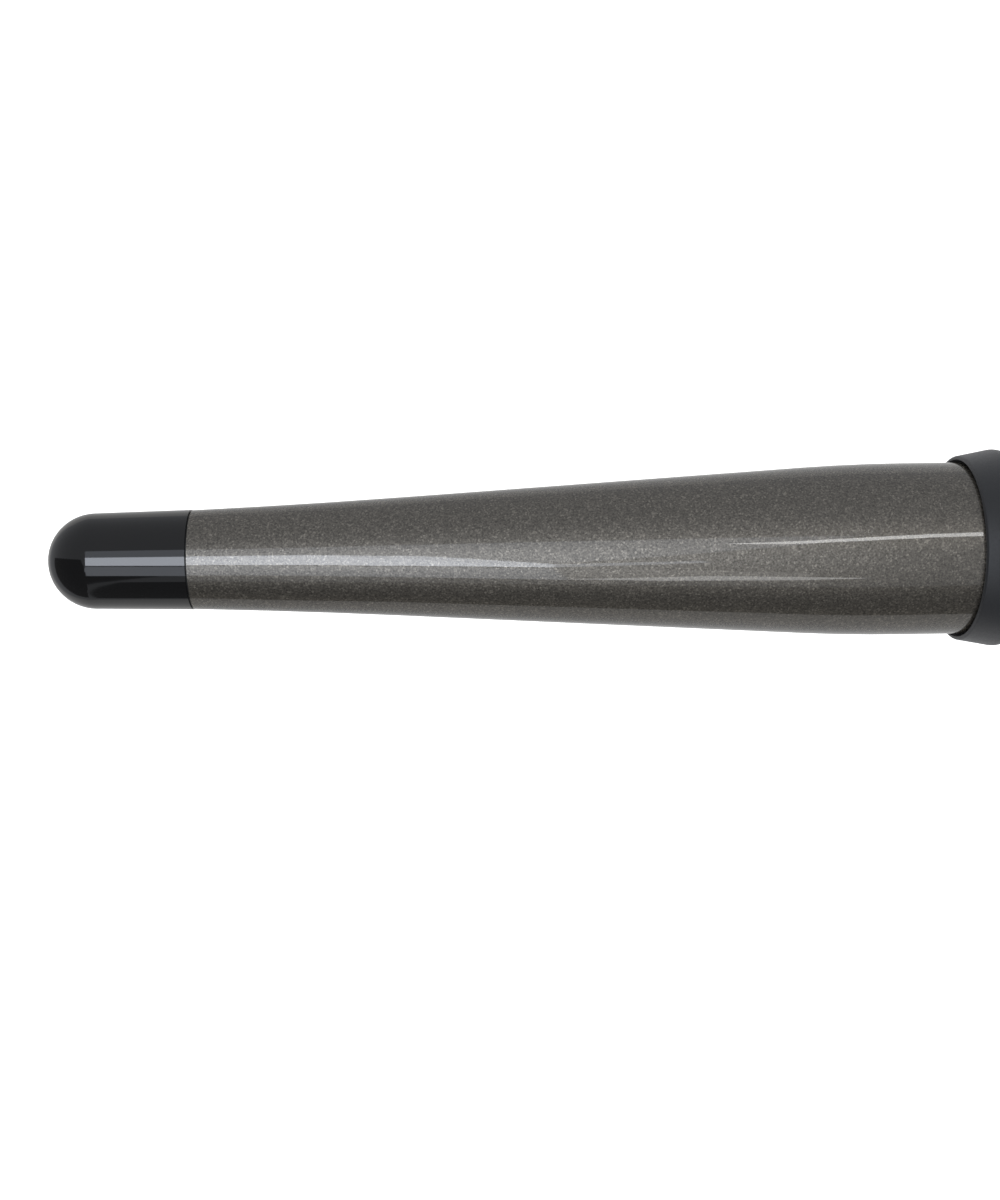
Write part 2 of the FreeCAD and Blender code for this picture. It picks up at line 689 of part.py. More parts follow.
def screw_bosses(body, side):
    for spot, reach in zip(SCREW_SPOTS, BOSS_REACH):
        boss = circles(body, "XY_Plane", [spot], "Size.handle_boss_radius")
        extrude(body, boss, f"{reach} + Size.loose", downward=side < 0)


upper = new_body("handle_upper_shell")
solid_half(upper, 1)
hollow(upper)
screw_bosses(upper, 1)
pilot = circles(upper, "XY_Plane", SCREW_SPOTS, "Size.handle_screw_radius + Size.fit")
extrude(upper, pilot, "Size.handle_screw_grip + Size.fit", removes=True)

# Bosses that hold the circuit board
BOARD_SCREW_X = ("Size.board_start + Size.board_screw_inset", f"{BOARD_END} - Size.board_screw_inset")
BOARD_SPOTS = [(x, y) for x in BOARD_SCREW_X for y in both_sides("Size.board_screw_y")]
for x, bore in zip(BOARD_SCREW_X, (f"({WAIST} - Size.shell_wall)", handle_bore(BOARD_SCREW_X[1]))):
    pair = [(x, y) for y in both_sides("Size.board_screw_y")]
    bosses = circles(upper, "XY_Plane", pair, "Size.board_boss_radius", BOARD_TOP)
    extrude(upper, bosses, f"sqrt({bore}^2 - Size.board_screw_y^2) - {BOARD_TOP}")
board_pilot = circles(upper, "XY_Plane", BOARD_SPOTS, "Size.board_screw_radius + Size.fit", BOARD_TOP)
extrude(upper, board_pilot, "Size.board_screw_grip + Size.fit", removes=True)

# Recess for the control panel, and the holes for the buttons and the display under it
PANEL_END = "(Size.panel_start + Size.panel_length)"
RECESS = "(Size.panel_depth + Size.fit)"
RECESS_START = "Size.panel_start - Size.fit"
RECESS_END = f"{PANEL_END} + Size.fit"
turn(upper, [
    (RECESS_START, f"{handle_radius(RECESS_START)} - {RECESS}"),
    (RECESS_START, f"{handle_radius(RECESS_START)} + Size.over_cut"),
    (RECESS_END, f"{handle_radius(RECESS_END)} + Size.over_cut"),
    (RECESS_END, f"{handle_radius(RECESS_END)} - {RECESS}"),
], angle=sector_angle("Size.panel_half_width + Size.fit", WAIST), removes=True)
BUTTONS = (
    ("power_button", "power_plunger", "Size.power_x", "Size.power_radius"),
    ("plus_button", "plus_plunger", "Size.plus_x", "Size.step_radius"),
    ("minus_button", "minus_plunger", "Size.minus_x", "Size.step_radius"),
)
for button, plunger, x, radius in BUTTONS:
    hole = circles(upper, "XY_Plane", [(x, "0")], f"{radius} + Size.loose", BOARD_TOP)
    extrude(upper, hole, removes=True)
DISPLAY_X = ("Size.window_start", "Size.window_start + Size.window_length")
DISPLAY_HOLE_X = (f"{DISPLAY_X[0]} - Size.loose", f"{DISPLAY_X[1]} + Size.loose")
display_hole = rectangle(upper, "XY_Plane", DISPLAY_HOLE_X,
                         both_sides("Size.display_half_width + Size.loose"), BOARD_TOP)
extrude(upper, display_hole, removes=True)

lower = new_body("handle_lower_shell")
solid_half(lower, -1)

# Lugs under the neck, with a slot between them for the stand's knuckle
LUG_X = ("Size.stand_x - Size.lug_radius", "Size.stand_x + Size.lug_radius")
LUG_LOW = f"{STAND_Z} - Size.lug_radius"
lugs = outline(lower, "XZ_Plane", [
    (LUG_X[0], f"-{NECK_BORE}"),
    (LUG_X[0], LUG_LOW, "Size.lug_radius - Size.fit"),
    (LUG_X[1], LUG_LOW, "Size.lug_radius - Size.fit"),
    (LUG_X[1], f"-{NECK_BORE}"),
])
extrude(lower, lugs, "Size.lug_span", symmetric=True)
lug_roots = rectangle(lower, "XZ_Plane", LUG_X, (f"-{NECK_BORE}", f"-{NECK_BORE} + Size.lug_root"))
extrude(lower, lug_roots, "Size.lug_span", symmetric=True)
SLOT_X = (f"{LUG_X[0]} - Size.over_cut", f"{LUG_X[1]} + Size.over_cut")
slot = rectangle(lower, "XZ_Plane", SLOT_X, (f"{LUG_LOW} - Size.over_cut", f"-{NECK}"))
extrude(lower, slot, "Size.lug_slot", removes=True, symmetric=True)
PIN_SPOT = [("Size.stand_x", STAND_Z)]
pin_hole = circles(lower, "XZ_Plane", PIN_SPOT, "Size.stand_pin_radius + Size.fit / 2")
extrude(lower, pin_hole, "2 * Size.lug_span", removes=True, symmetric=True)
hollow(lower)
screw_bosses(lower, -1)
through = circles(lower, "XY_Plane", SCREW_SPOTS, "Size.handle_screw_radius + 2 * Size.fit")
extrude(lower, through, removes=True, downward=True)
HEAD_SEAT = "-Size.handle_head_depth"
counterbore = circles(lower, "XY_Plane", SCREW_SPOTS, "Size.handle_head_radius + 2 * Size.fit", HEAD_SEAT)
extrude(lower, counterbore, removes=True, downward=True)

# Handle screws: two pan-head screws from below on the centre line
handle_screws = new_body("handle_screws")
shanks = circles(handle_screws, "XY_Plane", SCREW_SPOTS, "Size.handle_screw_radius", HEAD_SEAT)
extrude(handle_screws, shanks, "Size.handle_head_depth + Size.handle_screw_grip")
heads = circles(handle_screws, "XY_Plane", SCREW_SPOTS, "Size.handle_head_radius", HEAD_SEAT)
extrude(handle_screws, heads, "Size.handle_head_height", downward=True)

# ---------------------------------------------------------------------------------------------
# Control panel: gloss inlay that follows the handle, with holes for the buttons and the window
PANEL_ANGLE = sector_angle("Size.panel_half_width", WAIST)


def inlay(body, x_range, half_width):
    """Strip of the handle's surface, as deep as the panel."""
    start, end = x_range
    turn(body, [
        (start, f"{handle_radius(start)} - Size.panel_depth"),
        (start, f"{handle_radius(start)} + Size.panel_rise"),
        (end, f"{handle_radius(end)} + Size.panel_rise"),
        (end, f"{handle_radius(end)} - Size.panel_depth"),
    ], angle=sector_angle(half_width, WAIST))


control_panel = new_body("control_panel")
inlay(control_panel, ("Size.panel_start", PANEL_END), "Size.panel_half_width")
for button, plunger, x, radius in BUTTONS:
    hole = circles(control_panel, "XY_Plane", [(x, "0")], f"{radius} + Size.loose", BOARD_TOP)
    extrude(control_panel, hole, removes=True)
WINDOW_START = "Size.window_start"
WINDOW_END = "(Size.window_start + Size.window_length)"
turn(control_panel, [
    (f"{WINDOW_START} - Size.fit", f"{handle_radius(WINDOW_START)} - Size.panel_depth - Size.over_cut"),
    (f"{WINDOW_START} - Size.fit", f"{handle_radius(WINDOW_START)} + Size.over_cut"),
    (f"{WINDOW_END} + Size.fit", f"{handle_radius(WINDOW_END)} + Size.over_cut"),
    (f"{WINDOW_END} + Size.fit", f"{handle_radius(WINDOW_END)} - Size.panel_depth - Size.over_cut"),
], angle=sector_angle("Size.window_half_width + Size.fit", WAIST), removes=True)

# Display window: smoked lens flush with the panel
display_window = new_body("display_window")
inlay(display_window, (WINDOW_START, WINDOW_END), "Size.window_half_width")

# Buttons with a flange under the shell, and the switch plungers that they push
for button, plunger, x, radius in BUTTONS:
    flange_top = f"({handle_bore(x)} - Size.button_flange)"
    stem_foot = f"({SWITCH_TOP} + Size.plunger_rise)"
    body = new_body(button)
    stem = circles(body, "XY_Plane", [(x, "0")], "Size.button_stem_radius", stem_foot)
    extrude(body, stem, f"{flange_top} - {stem_foot}")
    flange = circles(body, "XY_Plane", [(x, "0")], f"{radius} + Size.button_flange", flange_top)
    extrude(body, flange, "Size.button_flange_height", downward=True)
    cap = circles(body, "XY_Plane", [(x, "0")], radius, flange_top)
    cap_top = f"{handle_radius(x)} + Size.panel_rise + Size.button_rise"
    extrude(body, cap, f"{cap_top} - {flange_top}")
    body = new_body(plunger)
    rod = circles(body, "XY_Plane", [(x, "0")], "Size.plunger_radius", stem_foot)
    extrude(body, rod, "Size.plunger_length", downward=True)

# ---------------------------------------------------------------------------------------------
# Circuit board and the parts soldered to it
circuit_board = new_body("circuit_board")
BOARD_X = ("Size.board_start", BOARD_END)
block(circuit_board, BOARD_X, both_sides("Size.board_half_width"), "Size.board_z", BOARD_TOP)
board_holes = circles(circuit_board, "XY_Plane", BOARD_SPOTS, "Size.board_screw_radius + Size.fit")
extrude(circuit_board, board_holes, removes=True)

board_screws = new_body("board_screws")
shanks = circles(board_screws, "XY_Plane", BOARD_SPOTS, "Size.board_screw_radius", "Size.board_z")
extrude(board_screws, shanks, "Size.board_height + Size.board_screw_grip")
heads = circles(board_screws, "XY_Plane", BOARD_SPOTS, "Size.board_head_radius", "Size.board_z")
extrude(board_screws, heads, "Size.board_head_height", downward=True)

tact_switches = new_body("tact_switches")
HALF_SWITCH = "Size.switch_width / 2"
for button, plunger, x, radius in BUTTONS:
    around = (f"{x} - {HALF_SWITCH}", f"{x} + {HALF_SWITCH}")
    block(tact_switches, around, both_sides(HALF_SWITCH), BOARD_TOP, SWITCH_TOP)
WELL_DEPTH = "Size.plunger_length - Size.plunger_rise + Size.button_travel + Size.fit"
for button, plunger, x, radius in BUTTONS:
    well = circles(tact_switches, "XY_Plane", [(x, "0")], "Size.plunger_radius + Size.loose", SWITCH_TOP)
    extrude(tact_switches, well, WELL_DEPTH, removes=True, downward=True)

display_module = new_body("display_module")
DISPLAY_TOP = f"({handle_radius(DISPLAY_X[0])} - Size.panel_depth - Size.display_gap)"
block(display_module, DISPLAY_X, both_sides("Size.display_half_width"), BOARD_TOP, DISPLAY_TOP)

TERMINAL_X = "(Size.board_start + Size.terminal_inset)"
TERMINAL_SIDES = both_sides("Size.terminal_half_width")
heater_terminal = new_body("heater_terminal")
block(heater_terminal, (TERMINAL_X, f"{TERMINAL_X} + Size.terminal_length"), TERMINAL_SIDES,
      BOARD_TOP, f"{BOARD_TOP} + Size.terminal_height")
supply_terminal = new_body("supply_terminal")
SUPPLY_REAR = f"({BOARD_END} - Size.supply_inset)"
block(supply_terminal, (f"{SUPPLY_REAR} - Size.terminal_length", SUPPLY_REAR), TERMINAL_SIDES,
      "Size.board_z - Size.terminal_height", "Size.board_z")
sensor_connector = new_body("sensor_connector")
block(sensor_connector, (TERMINAL_X, f"{TERMINAL_X} + Size.connector_length"),
      ("Size.connector_y", "Size.connector_y + Size.connector_width"),
      "Size.board_z - Size.connector_height", "Size.board_z")
triac = new_body("triac")
TRIAC_X = f"{TERMINAL_X} + Size.triac_station"
block(triac, (TRIAC_X, f"{TRIAC_X} + Size.triac_length"), ("Size.triac_y", "Size.triac_y + Size.triac_width"),
      "Size.board_z - Size.triac_height", "Size.board_z")
controller_chip = new_body("controller_chip")
CHIP_X = f"{TERMINAL_X} + Size.chip_station"
block(controller_chip, (CHIP_X, f"{CHIP_X} + Size.chip_width"), both_sides("Size.chip_width / 2"),
      "Size.board_z - Size.chip_height", "Size.board_z")
CAPACITOR_X = f"{TERMINAL_X} + Size.capacitor_station"
rod_along_axis("capacitor", (CAPACITOR_X, f"{CAPACITOR_X} + Size.capacitor_length"), "0",
               "Size.board_z - Size.capacitor_radius - Size.fit", "Size.capacitor_radius")

# ---------------------------------------------------------------------------------------------
# End ring: closes the handle, keeps the swivel in and touches the table behind the stand
end_ring = new_body("end_ring")
END_BORE = f"({REAR_SPIGOT} + Size.fit)"
END_FLOOR = f"({SPIGOT_REAR} + Size.fit)"
GLAND_BORE = "(Size.gland_radius + Size.loose)"
turn(end_ring, [
    (f"{HANDLE_REAR} + Size.fit", END_BORE),
    (f"{HANDLE_REAR} + Size.fit", END_RING, "Size.end_round / 2"),
    (END_FACE, END_RING, "Size.end_round"),
    (END_FACE, GLAND_BORE),
    (END_FLOOR, GLAND_BORE),
    (END_FLOOR, END_BORE),
])

# Swivel gland: turns in the bulkhead and the end ring, and takes the cord in its rear bore
GLAND_REAR = f"({END_FACE} + Size.gland_stickout)"
FLANGE_REAR = f"({END_FLOOR} - Size.loose)"
FLANGE_FRONT = f"({FLANGE_REAR} - Size.gland_flange_width)"
GLAND_FRONT = f"({BULKHEAD_REAR} + Size.loose)"
BORE_FLOOR = f"({GLAND_REAR} - Size.cord_bore_depth)"
CORE_FLOOR = f"({STEM_FRONT} + Size.stem_end)"
swivel_gland = new_body("swivel_gland")
turn(swivel_gland, [
    (STEM_FRONT, "0"),
    (STEM_FRONT, "Size.stem_radius"),
    (f"{BULKHEAD} - Size.loose", "Size.stem_radius"),
    (f"{BULKHEAD} - Size.loose", "Size.journal_radius"),
    (GLAND_FRONT, "Size.journal_radius"),
    (GLAND_FRONT, "Size.gland_radius"),
    (FLANGE_FRONT, "Size.gland_radius"),
    (FLANGE_FRONT, "Size.gland_flange_radius"),
    (FLANGE_REAR, "Size.gland_flange_radius"),
    (FLANGE_REAR, "Size.gland_radius"),
    (GLAND_REAR, "Size.gland_radius", "Size.gland_round"),
    (GLAND_REAR, "Size.cord_bore_radius"),
    (BORE_FLOOR, "Size.cord_bore_radius"),
    (BORE_FLOOR, "Size.core_bore_radius"),
    (CORE_FLOOR, "Size.core_bore_radius"),
    (CORE_FLOOR, "0"),
])

# Slip rings on the gland's stem, and the two brushes that touch them from opposite sides
LIVE_X = f"({STEM_FRONT} + Size.stem_end)"
NEUTRAL_X = f"({LIVE_X} + Size.slip_ring_pitch)"
TOWER_Y = "(Size.slip_ring_radius + Size.brush_reach + 2 * Size.fit)"
for ring, brush, x, side in (("slip_ring_live", "brush_live", LIVE_X, 1),
                             ("slip_ring_neutral", "brush_neutral", NEUTRAL_X, -1)):
    ring_end = f"{x} + Size.slip_ring_width"
    turn(new_body(ring), [
        (x, "Size.stem_radius + Size.fit / 2"),
        (x, "Size.slip_ring_radius"),
        (ring_end, "Size.slip_ring_radius"),
        (ring_end, "Size.stem_radius + Size.fit / 2"),
    ])
    reach = ("Size.slip_ring_radius + Size.fit", TOWER_Y)
    sides = reach if side > 0 else (f"-{TOWER_Y}", "-(Size.slip_ring_radius + Size.fit)")
    inside = (f"{x} + 2 * Size.fit", f"{ring_end} - 2 * Size.fit")
    block(new_body(brush), inside, sides, "-Size.brush_height / 2", "Size.brush_height / 2")

# Brush holder: moulded fork that stands on the lower shell, its floor sunk between the towers
brush_holder = new_body("brush_holder")
TOWER_OUT = f"({TOWER_Y} + Size.brush_tower_wall)"
FORK_ROOM = f"min({handle_bore(STEM_FRONT)}; {handle_bore(BULKHEAD)})"
TOWER_LOW = f"(-sqrt({FORK_ROOM}^2 - {TOWER_OUT}^2) + Size.fit)"
FORK_LOW = f"(-sqrt({FORK_ROOM}^2 - {TOWER_Y}^2) + Size.fit)"
FORK_FLOOR = f"({FORK_LOW} + Size.brush_tower_wall)"
fork = outline(brush_holder, "YZ_Plane", [
    (f"-{TOWER_OUT}", TOWER_LOW),
    (f"-{TOWER_Y}", FORK_LOW),
    (TOWER_Y, FORK_LOW),
    (TOWER_OUT, TOWER_LOW),
    (TOWER_OUT, "Size.brush_height"),
    (TOWER_Y, "Size.brush_height"),
    (TOWER_Y, FORK_FLOOR),
    (f"-{TOWER_Y}", FORK_FLOOR),
    (f"-{TOWER_Y}", "Size.brush_height"),
    (f"-{TOWER_OUT}", "Size.brush_height"),
], STEM_FRONT)
extrude(brush_holder, fork, "Size.stem_length")

# ---------------------------------------------------------------------------------------------
# Rest stand: flap with a wide foot; its heel rests against the neck when it is open
rest_stand = new_body("rest_stand")
FOOT_ALONG = f"Size.foot_length / 2 * cos({TILT})"
FOOT_LIFT = f"Size.foot_length / 2 * sin({TILT})"
FOOT_TOE = (f"Size.foot_x - {FOOT_ALONG}", f"{FOOT_Z} - {FOOT_LIFT}")
FOOT_HEEL = (f"Size.foot_x + {FOOT_ALONG}", f"{FOOT_Z} + {FOOT_LIFT}")
FOOT_TOP = f"({FOOT_Z} + Size.foot_height)"
STOP_Z = f"(-{NECK} - Size.stop_gap)"
leg = outline(rest_stand, "XZ_Plane", [
    FOOT_TOE,
    FOOT_HEEL,
    ("Size.stand_x", f"{STAND_Z} - Size.knuckle_radius + Size.fit"),
    ("Size.stand_x", f"{STAND_Z} + Size.fit"),
    ("Size.stand_x - Size.stop_inset", STOP_Z),
    ("Size.stand_x - Size.stop_inset - Size.stop_length", STOP_Z),
    ("Size.foot_x + Size.foot_block / 2", FOOT_TOP),
    (FOOT_TOE[0], FOOT_TOP, "Size.toe_round"),
])
extrude(rest_stand, leg, "Size.lug_slot - 2 * Size.loose", symmetric=True)
knuckle = circles(rest_stand, "XZ_Plane", PIN_SPOT, "Size.knuckle_radius")
extrude(rest_stand, knuckle, "Size.lug_slot - 2 * Size.loose", symmetric=True)
foot = outline(rest_stand, "XZ_Plane", [
    FOOT_TOE,
    FOOT_HEEL,
    ("Size.foot_x + Size.foot_block / 2", f"{FOOT_Z} + Size.foot_height / 2"),
    ("Size.foot_x + Size.foot_block / 2", FOOT_TOP),
    (FOOT_TOE[0], FOOT_TOP, "Size.toe_round"),
])
extrude(rest_stand, foot, "Size.foot_width", symmetric=True)
pin_bore = circles(rest_stand, "XZ_Plane", PIN_SPOT, "Size.stand_pin_radius + Size.fit")
extrude(rest_stand, pin_bore, "2 * Size.lug_span", removes=True, symmetric=True)

stand_pin = new_body("stand_pin")
pin = circles(stand_pin, "XZ_Plane", PIN_SPOT, "Size.stand_pin_radius")
extrude(stand_pin, pin, "Size.lug_span", symmetric=True)


# ---------------------------------------------------------------------------------------------
# Leads: straight runs joined by tangent arcs
BEND_SHARE = 0.45
VOLUME_TOLERANCE = 0.01


def lead_solid(route, radius):
    """Round wire along a route of points; each corner's arc takes a share of the shorter run beside it."""
    points = [Vector(*(number(value) for value in point)) for point in route]
    edges = []
    start = points[0]
    for before, corner, after in zip(points, points[1:], points[2:]):
        back = before - corner
        ahead = after - corner
        setback = BEND_SHARE * min(back.Length, ahead.Length)
        back.normalize()
        ahead.normalize()
        half = back.getAngle(ahead) / 2
        arc_start = corner + back * setback
        arc_end = corner + ahead * setback
        centre = corner + (back + ahead).normalize() * (setback / math.cos(half))
        middle = centre + (corner - centre).normalize() * (setback * math.tan(half))
        edges.append(Part.makeLine(start, arc_start))
        edges.append(Part.Arc(arc_start, middle, arc_end).toShape())
        start = arc_end
    edges.append(Part.makeLine(start, points[-1]))
    path = Part.Wire(edges)
    circle = Part.Circle(points[0], points[1] - points[0], radius)
    solid = path.makePipeShell([Part.Wire(circle.toShape())], True, False)
    expected = math.pi * radius ** 2 * path.Length
    if abs(solid.Volume - expected) > VOLUME_TOLERANCE * expected:
        raise RuntimeError(f"lead volume {solid.Volume:.2f} is not {expected:.2f}")
    return solid


def leads(name, routes, radius):
    wires = doc.addObject("Part::Feature", name)
    wires.Label = name
    wires.Shape = Part.makeCompound([lead_solid(route, number(radius)) for route in routes])
    wires.setExpression("Placement", "barrel.Placement")


LEAD_Z = f"({BOARD_TOP} + Size.heater_lead_radius + Size.fit)"
leads("heater_leads", [[
    (ELEMENT[1], f"{side} * Size.heater_lead_spread", "0"),
    (COLLAR_REAR, f"{side} * Size.heater_lead_spread", "0"),
    ("Size.board_start - Size.heater_lead_rise", f"{side} * Size.heater_lead_spread", LEAD_Z),
    (TERMINAL_X, f"{side} * Size.heater_lead_spread", LEAD_Z),
] for side in (1, -1)], "Size.heater_lead_radius")

PAIR_Y = "(Size.heater_lead_spread - Size.loose)"
PAIR_Z = "(-Size.sensor_pair_drop)"
WIRE_Z = "(Size.board_z - Size.connector_wire_drop)"
leads("sensor_leads", [[
    (SENSOR_END, f"{side} * Size.sensor_lead_spread", SENSOR_Z),
    (f"{HOLDER_FRONT} - Size.sensor_lead_turn", f"{side} * Size.sensor_lead_spread", SENSOR_Z),
    ("Size.root_depth - Size.sensor_pair_inset", f"{PAIR_Y} + {side} * Size.sensor_pair_spread", PAIR_Z),
    (COLLAR_REAR, f"{PAIR_Y} + {side} * Size.sensor_pair_spread", PAIR_Z),
    ("Size.board_start - Size.sensor_pair_rise", f"{PAIR_Y} + {side} * Size.sensor_pair_spread", WIRE_Z),
    (TERMINAL_X, f"{PAIR_Y} + {side} * Size.sensor_pair_spread", WIRE_Z),
] for side in (1, -1)], "Size.sensor_lead_radius")

TOWER_MIDDLE = f"({TOWER_Y} + Size.brush_tower_wall / 2)"
SUPPLY_Z = "Size.board_z - Size.terminal_height / 2"
leads("supply_leads", [[
    (SUPPLY_REAR, f"{side} * Size.heater_lead_spread", SUPPLY_Z),
    (f"{SUPPLY_REAR} + Size.supply_lead_straight", f"{side} * Size.heater_lead_spread", SUPPLY_Z),
    (f"{STEM_FRONT} - Size.supply_lead_lead_in", f"{side} * {TOWER_MIDDLE}", "0"),
    (STEM_FRONT, f"{side} * {TOWER_MIDDLE}", "0"),
] for side in (1, -1)], "Size.supply_lead_radius")

# ---------------------------------------------------------------------------------------------
# Check every object, then write each piece to its own file
doc.recompute()
failed = [item.Name for item in doc.Objects if "Invalid" in item.State or "Error" in item.State]
pieces = [item for item in doc.Objects if item.TypeId in ("PartDesign::Body", "Part::Feature")]
failed += [item.Label for item in pieces if item.Shape.isNull() or not item.Shape.isValid()]
if failed:
    raise RuntimeError("failed: " + ", ".join(failed))
os.makedirs("parts", exist_ok=True)
for piece in pieces:
    piece.Shape.exportStep(f"parts/{piece.Label}.step")
    print(f"{piece.Label}: {len(piece.Shape.Solids)} solid(s), {piece.Shape.Volume / 1000:.3f} cm3")
print(f"tilt {number(TILT):.3f} deg, {len(pieces)} pieces")
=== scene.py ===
import bpy
import json
import math
from mathutils import Matrix, Vector


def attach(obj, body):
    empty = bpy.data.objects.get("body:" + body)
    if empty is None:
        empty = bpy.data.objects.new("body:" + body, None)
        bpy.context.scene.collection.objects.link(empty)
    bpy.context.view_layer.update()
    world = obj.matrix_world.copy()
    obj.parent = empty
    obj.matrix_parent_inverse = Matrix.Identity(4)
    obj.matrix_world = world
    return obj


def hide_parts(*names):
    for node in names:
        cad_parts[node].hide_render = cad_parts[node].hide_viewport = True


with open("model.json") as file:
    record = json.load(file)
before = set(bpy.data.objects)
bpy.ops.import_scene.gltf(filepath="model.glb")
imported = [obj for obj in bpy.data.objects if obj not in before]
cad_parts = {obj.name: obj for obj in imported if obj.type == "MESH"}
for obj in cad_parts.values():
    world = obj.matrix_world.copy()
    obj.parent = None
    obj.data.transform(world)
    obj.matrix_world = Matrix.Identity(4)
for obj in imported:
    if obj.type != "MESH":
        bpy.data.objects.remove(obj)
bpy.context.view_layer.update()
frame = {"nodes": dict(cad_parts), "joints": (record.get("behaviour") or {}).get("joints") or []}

# The studio: a white light table that glows softly in a pale grey room, and softboxes of stretched
# white cloth hung above the wand. Flags of black felt beside its nose and in front of it keep the gloss
# deep. Each flag is a card with a dim painted glow that stands in for the light the felt gives back.
# The camera looks straight down, as the table is lit for.
MM = 0.001
camera = bpy.data.objects.new("studio_camera", bpy.data.cameras.new("studio_camera"))
bpy.context.collection.objects.link(camera)
camera.location = (-88.38 * MM, -8.33 * MM, 304.5 * MM)
camera.rotation_euler = (0.0, 0.0, math.radians(-0.93))
camera.data.lens = 44.73
camera.data.clip_start = 10 * MM
bpy.context.scene.camera = camera
bpy.context.scene.view_settings.view_transform = "Standard"


def linear(hex_colour):
    """sRGB hex colour as the linear colour that shaders take."""
    channels = [int(hex_colour[place:place + 2], 16) / 255 for place in (1, 3, 5)]
    return [c / 12.92 if c <= 0.04045 else ((c + 0.055) / 1.055) ** 2.4 for c in channels] + [1.0]


def add(tree, kind, settings=None, **sockets):
    """Adds a node with its settings, and links or sets its sockets: Base_Color by name, i6 by number."""
    node = tree.nodes.new(kind)
    for name, value in (settings or {}).items():
        setattr(node, name, value)
    for name, value in sockets.items():
        socket = node.inputs[int(name[1:]) if name[1:].isdigit() else name.replace("_", " ")]
        if isinstance(value, bpy.types.NodeSocket):
            tree.links.new(value, socket)
        else:
            socket.default_value = value
    return node


def new_finish(name):
    """New material with an empty node tree."""
    finish = bpy.data.materials.new(name)
    finish.use_nodes = True
    finish.node_tree.nodes.clear()
    return finish, finish.node_tree


def studio_card(name, corners, radiance, tint):
    """Flat card that only reflections and soft light see, with its corners in mm."""
    bpy.ops.object.select_all(action="DESELECT")
    bpy.ops.mesh.primitive_plane_add(size=1.0)
    card = bpy.context.object
    card.name = name
    for vertex, corner in zip(card.data.vertices, (corners[0], corners[1], corners[3], corners[2])):
        vertex.co = Vector(corner) * MM
    cloth, tree = new_finish(name + "_cloth")
    glow = add(tree, "ShaderNodeEmission", Color=linear(tint), Strength=radiance)
    add(tree, "ShaderNodeOutputMaterial", Surface=glow.outputs[0])
    card.data.materials.append(cloth)
    card.visible_camera = False
    card.visible_shadow = False


world = bpy.data.worlds.new("studio_room")
bpy.context.scene.world = world
world.use_nodes = True
world.node_tree.nodes.clear()
room = add(world.node_tree, "ShaderNodeBackground", Color=linear("#bbbdc1"), Strength=1.0)
add(world.node_tree, "ShaderNodeOutputWorld", Surface=room.outputs[0])

OVERHEAD = 630.0
DAYLIGHT = "#eef4ff"
WHITE = "#ffffff"
for name, height, radiance, tint, corners in (
        ("softbox_long", OVERHEAD, 8.2, DAYLIGHT, [(-330, 70), (-218, 45), (-88, -262), (-330, -120)]),
        ("softbox_long_end", OVERHEAD, 7.0, DAYLIGHT, [(-218, 45), (-158, -22), (-86, -196), (-88, -262)]),
        ("softbox_long_tail", OVERHEAD, 3.0, DAYLIGHT, [(-86, -196), (0, -156), (4, -190), (-88, -262)]),
        ("softbox_line", OVERHEAD - 4, 4.2, WHITE, [(-86, -570), (15, -452), (178, -498), (-15, -600)]),
        ("softbox_edge", OVERHEAD + 10, 1.7, DAYLIGHT, [(-330, 240), (120, 180), (-80, -180), (-330, 75)]),
        ("softbox_low", OVERHEAD, 2.2, DAYLIGHT, [(-350, -136), (-88, -282), (-80, -590), (-350, -445)]),
        ("softbox_low_end", OVERHEAD, 1.3, WHITE, [(-88, -282), (80, -380), (90, -590), (-80, -590)]),
        ("softbox_thin", OVERHEAD, 8.5, WHITE, [(10, 98), (330, 239), (330, 182), (45, 74)]),
        ("table_sheet", -0.1, 0.7, WHITE, [(-215, 70), (-215, -95), (600, -1100), (600, 70)])):
    studio_card(name, [(x, y, height) for x, y in corners], radiance, tint)
# Painted glow of the felt flags: a dim white emission stands for the little light black felt gives back.
PAINTED_FELT_GLOW = 0.12
studio_card("flag_front", [(-214, -200, -5), (420, -200, -5), (420, -200, 185), (-214, -200, 185)], PAINTED_FELT_GLOW,
            WHITE)
studio_card("flag_nose", [(-600, 40, -60), (-600, 40, 1000), (-330, -560, 1000), (-330, -560, -60)], PAINTED_FELT_GLOW,
            WHITE)

TABLE_SIZE = 6.0
bpy.ops.object.select_all(action="DESELECT")
bpy.ops.mesh.primitive_plane_add(size=TABLE_SIZE, location=(0.0, 0.0, -0.2 * MM))
table = bpy.context.object
table.name = "light_table"
table.visible_glossy = False
opal, tree = new_finish("opal_acrylic_light_table")
skin = add(tree, "ShaderNodeBsdfPrincipled", Base_Color=linear("#f4f4f2"), Roughness=0.8,
           Emission_Color=linear("#ffffff"), Emission_Strength=0.75)
clear = add(tree, "ShaderNodeBsdfTransparent")
beneath = add(tree, "ShaderNodeNewGeometry").outputs["Backfacing"]
one_sided = add(tree, "ShaderNodeMixShader", i0=beneath, i1=skin.outputs[0], i2=clear.outputs[0])
add(tree, "ShaderNodeOutputMaterial", Surface=one_sided.outputs[0])
table.data.materials.append(opal)
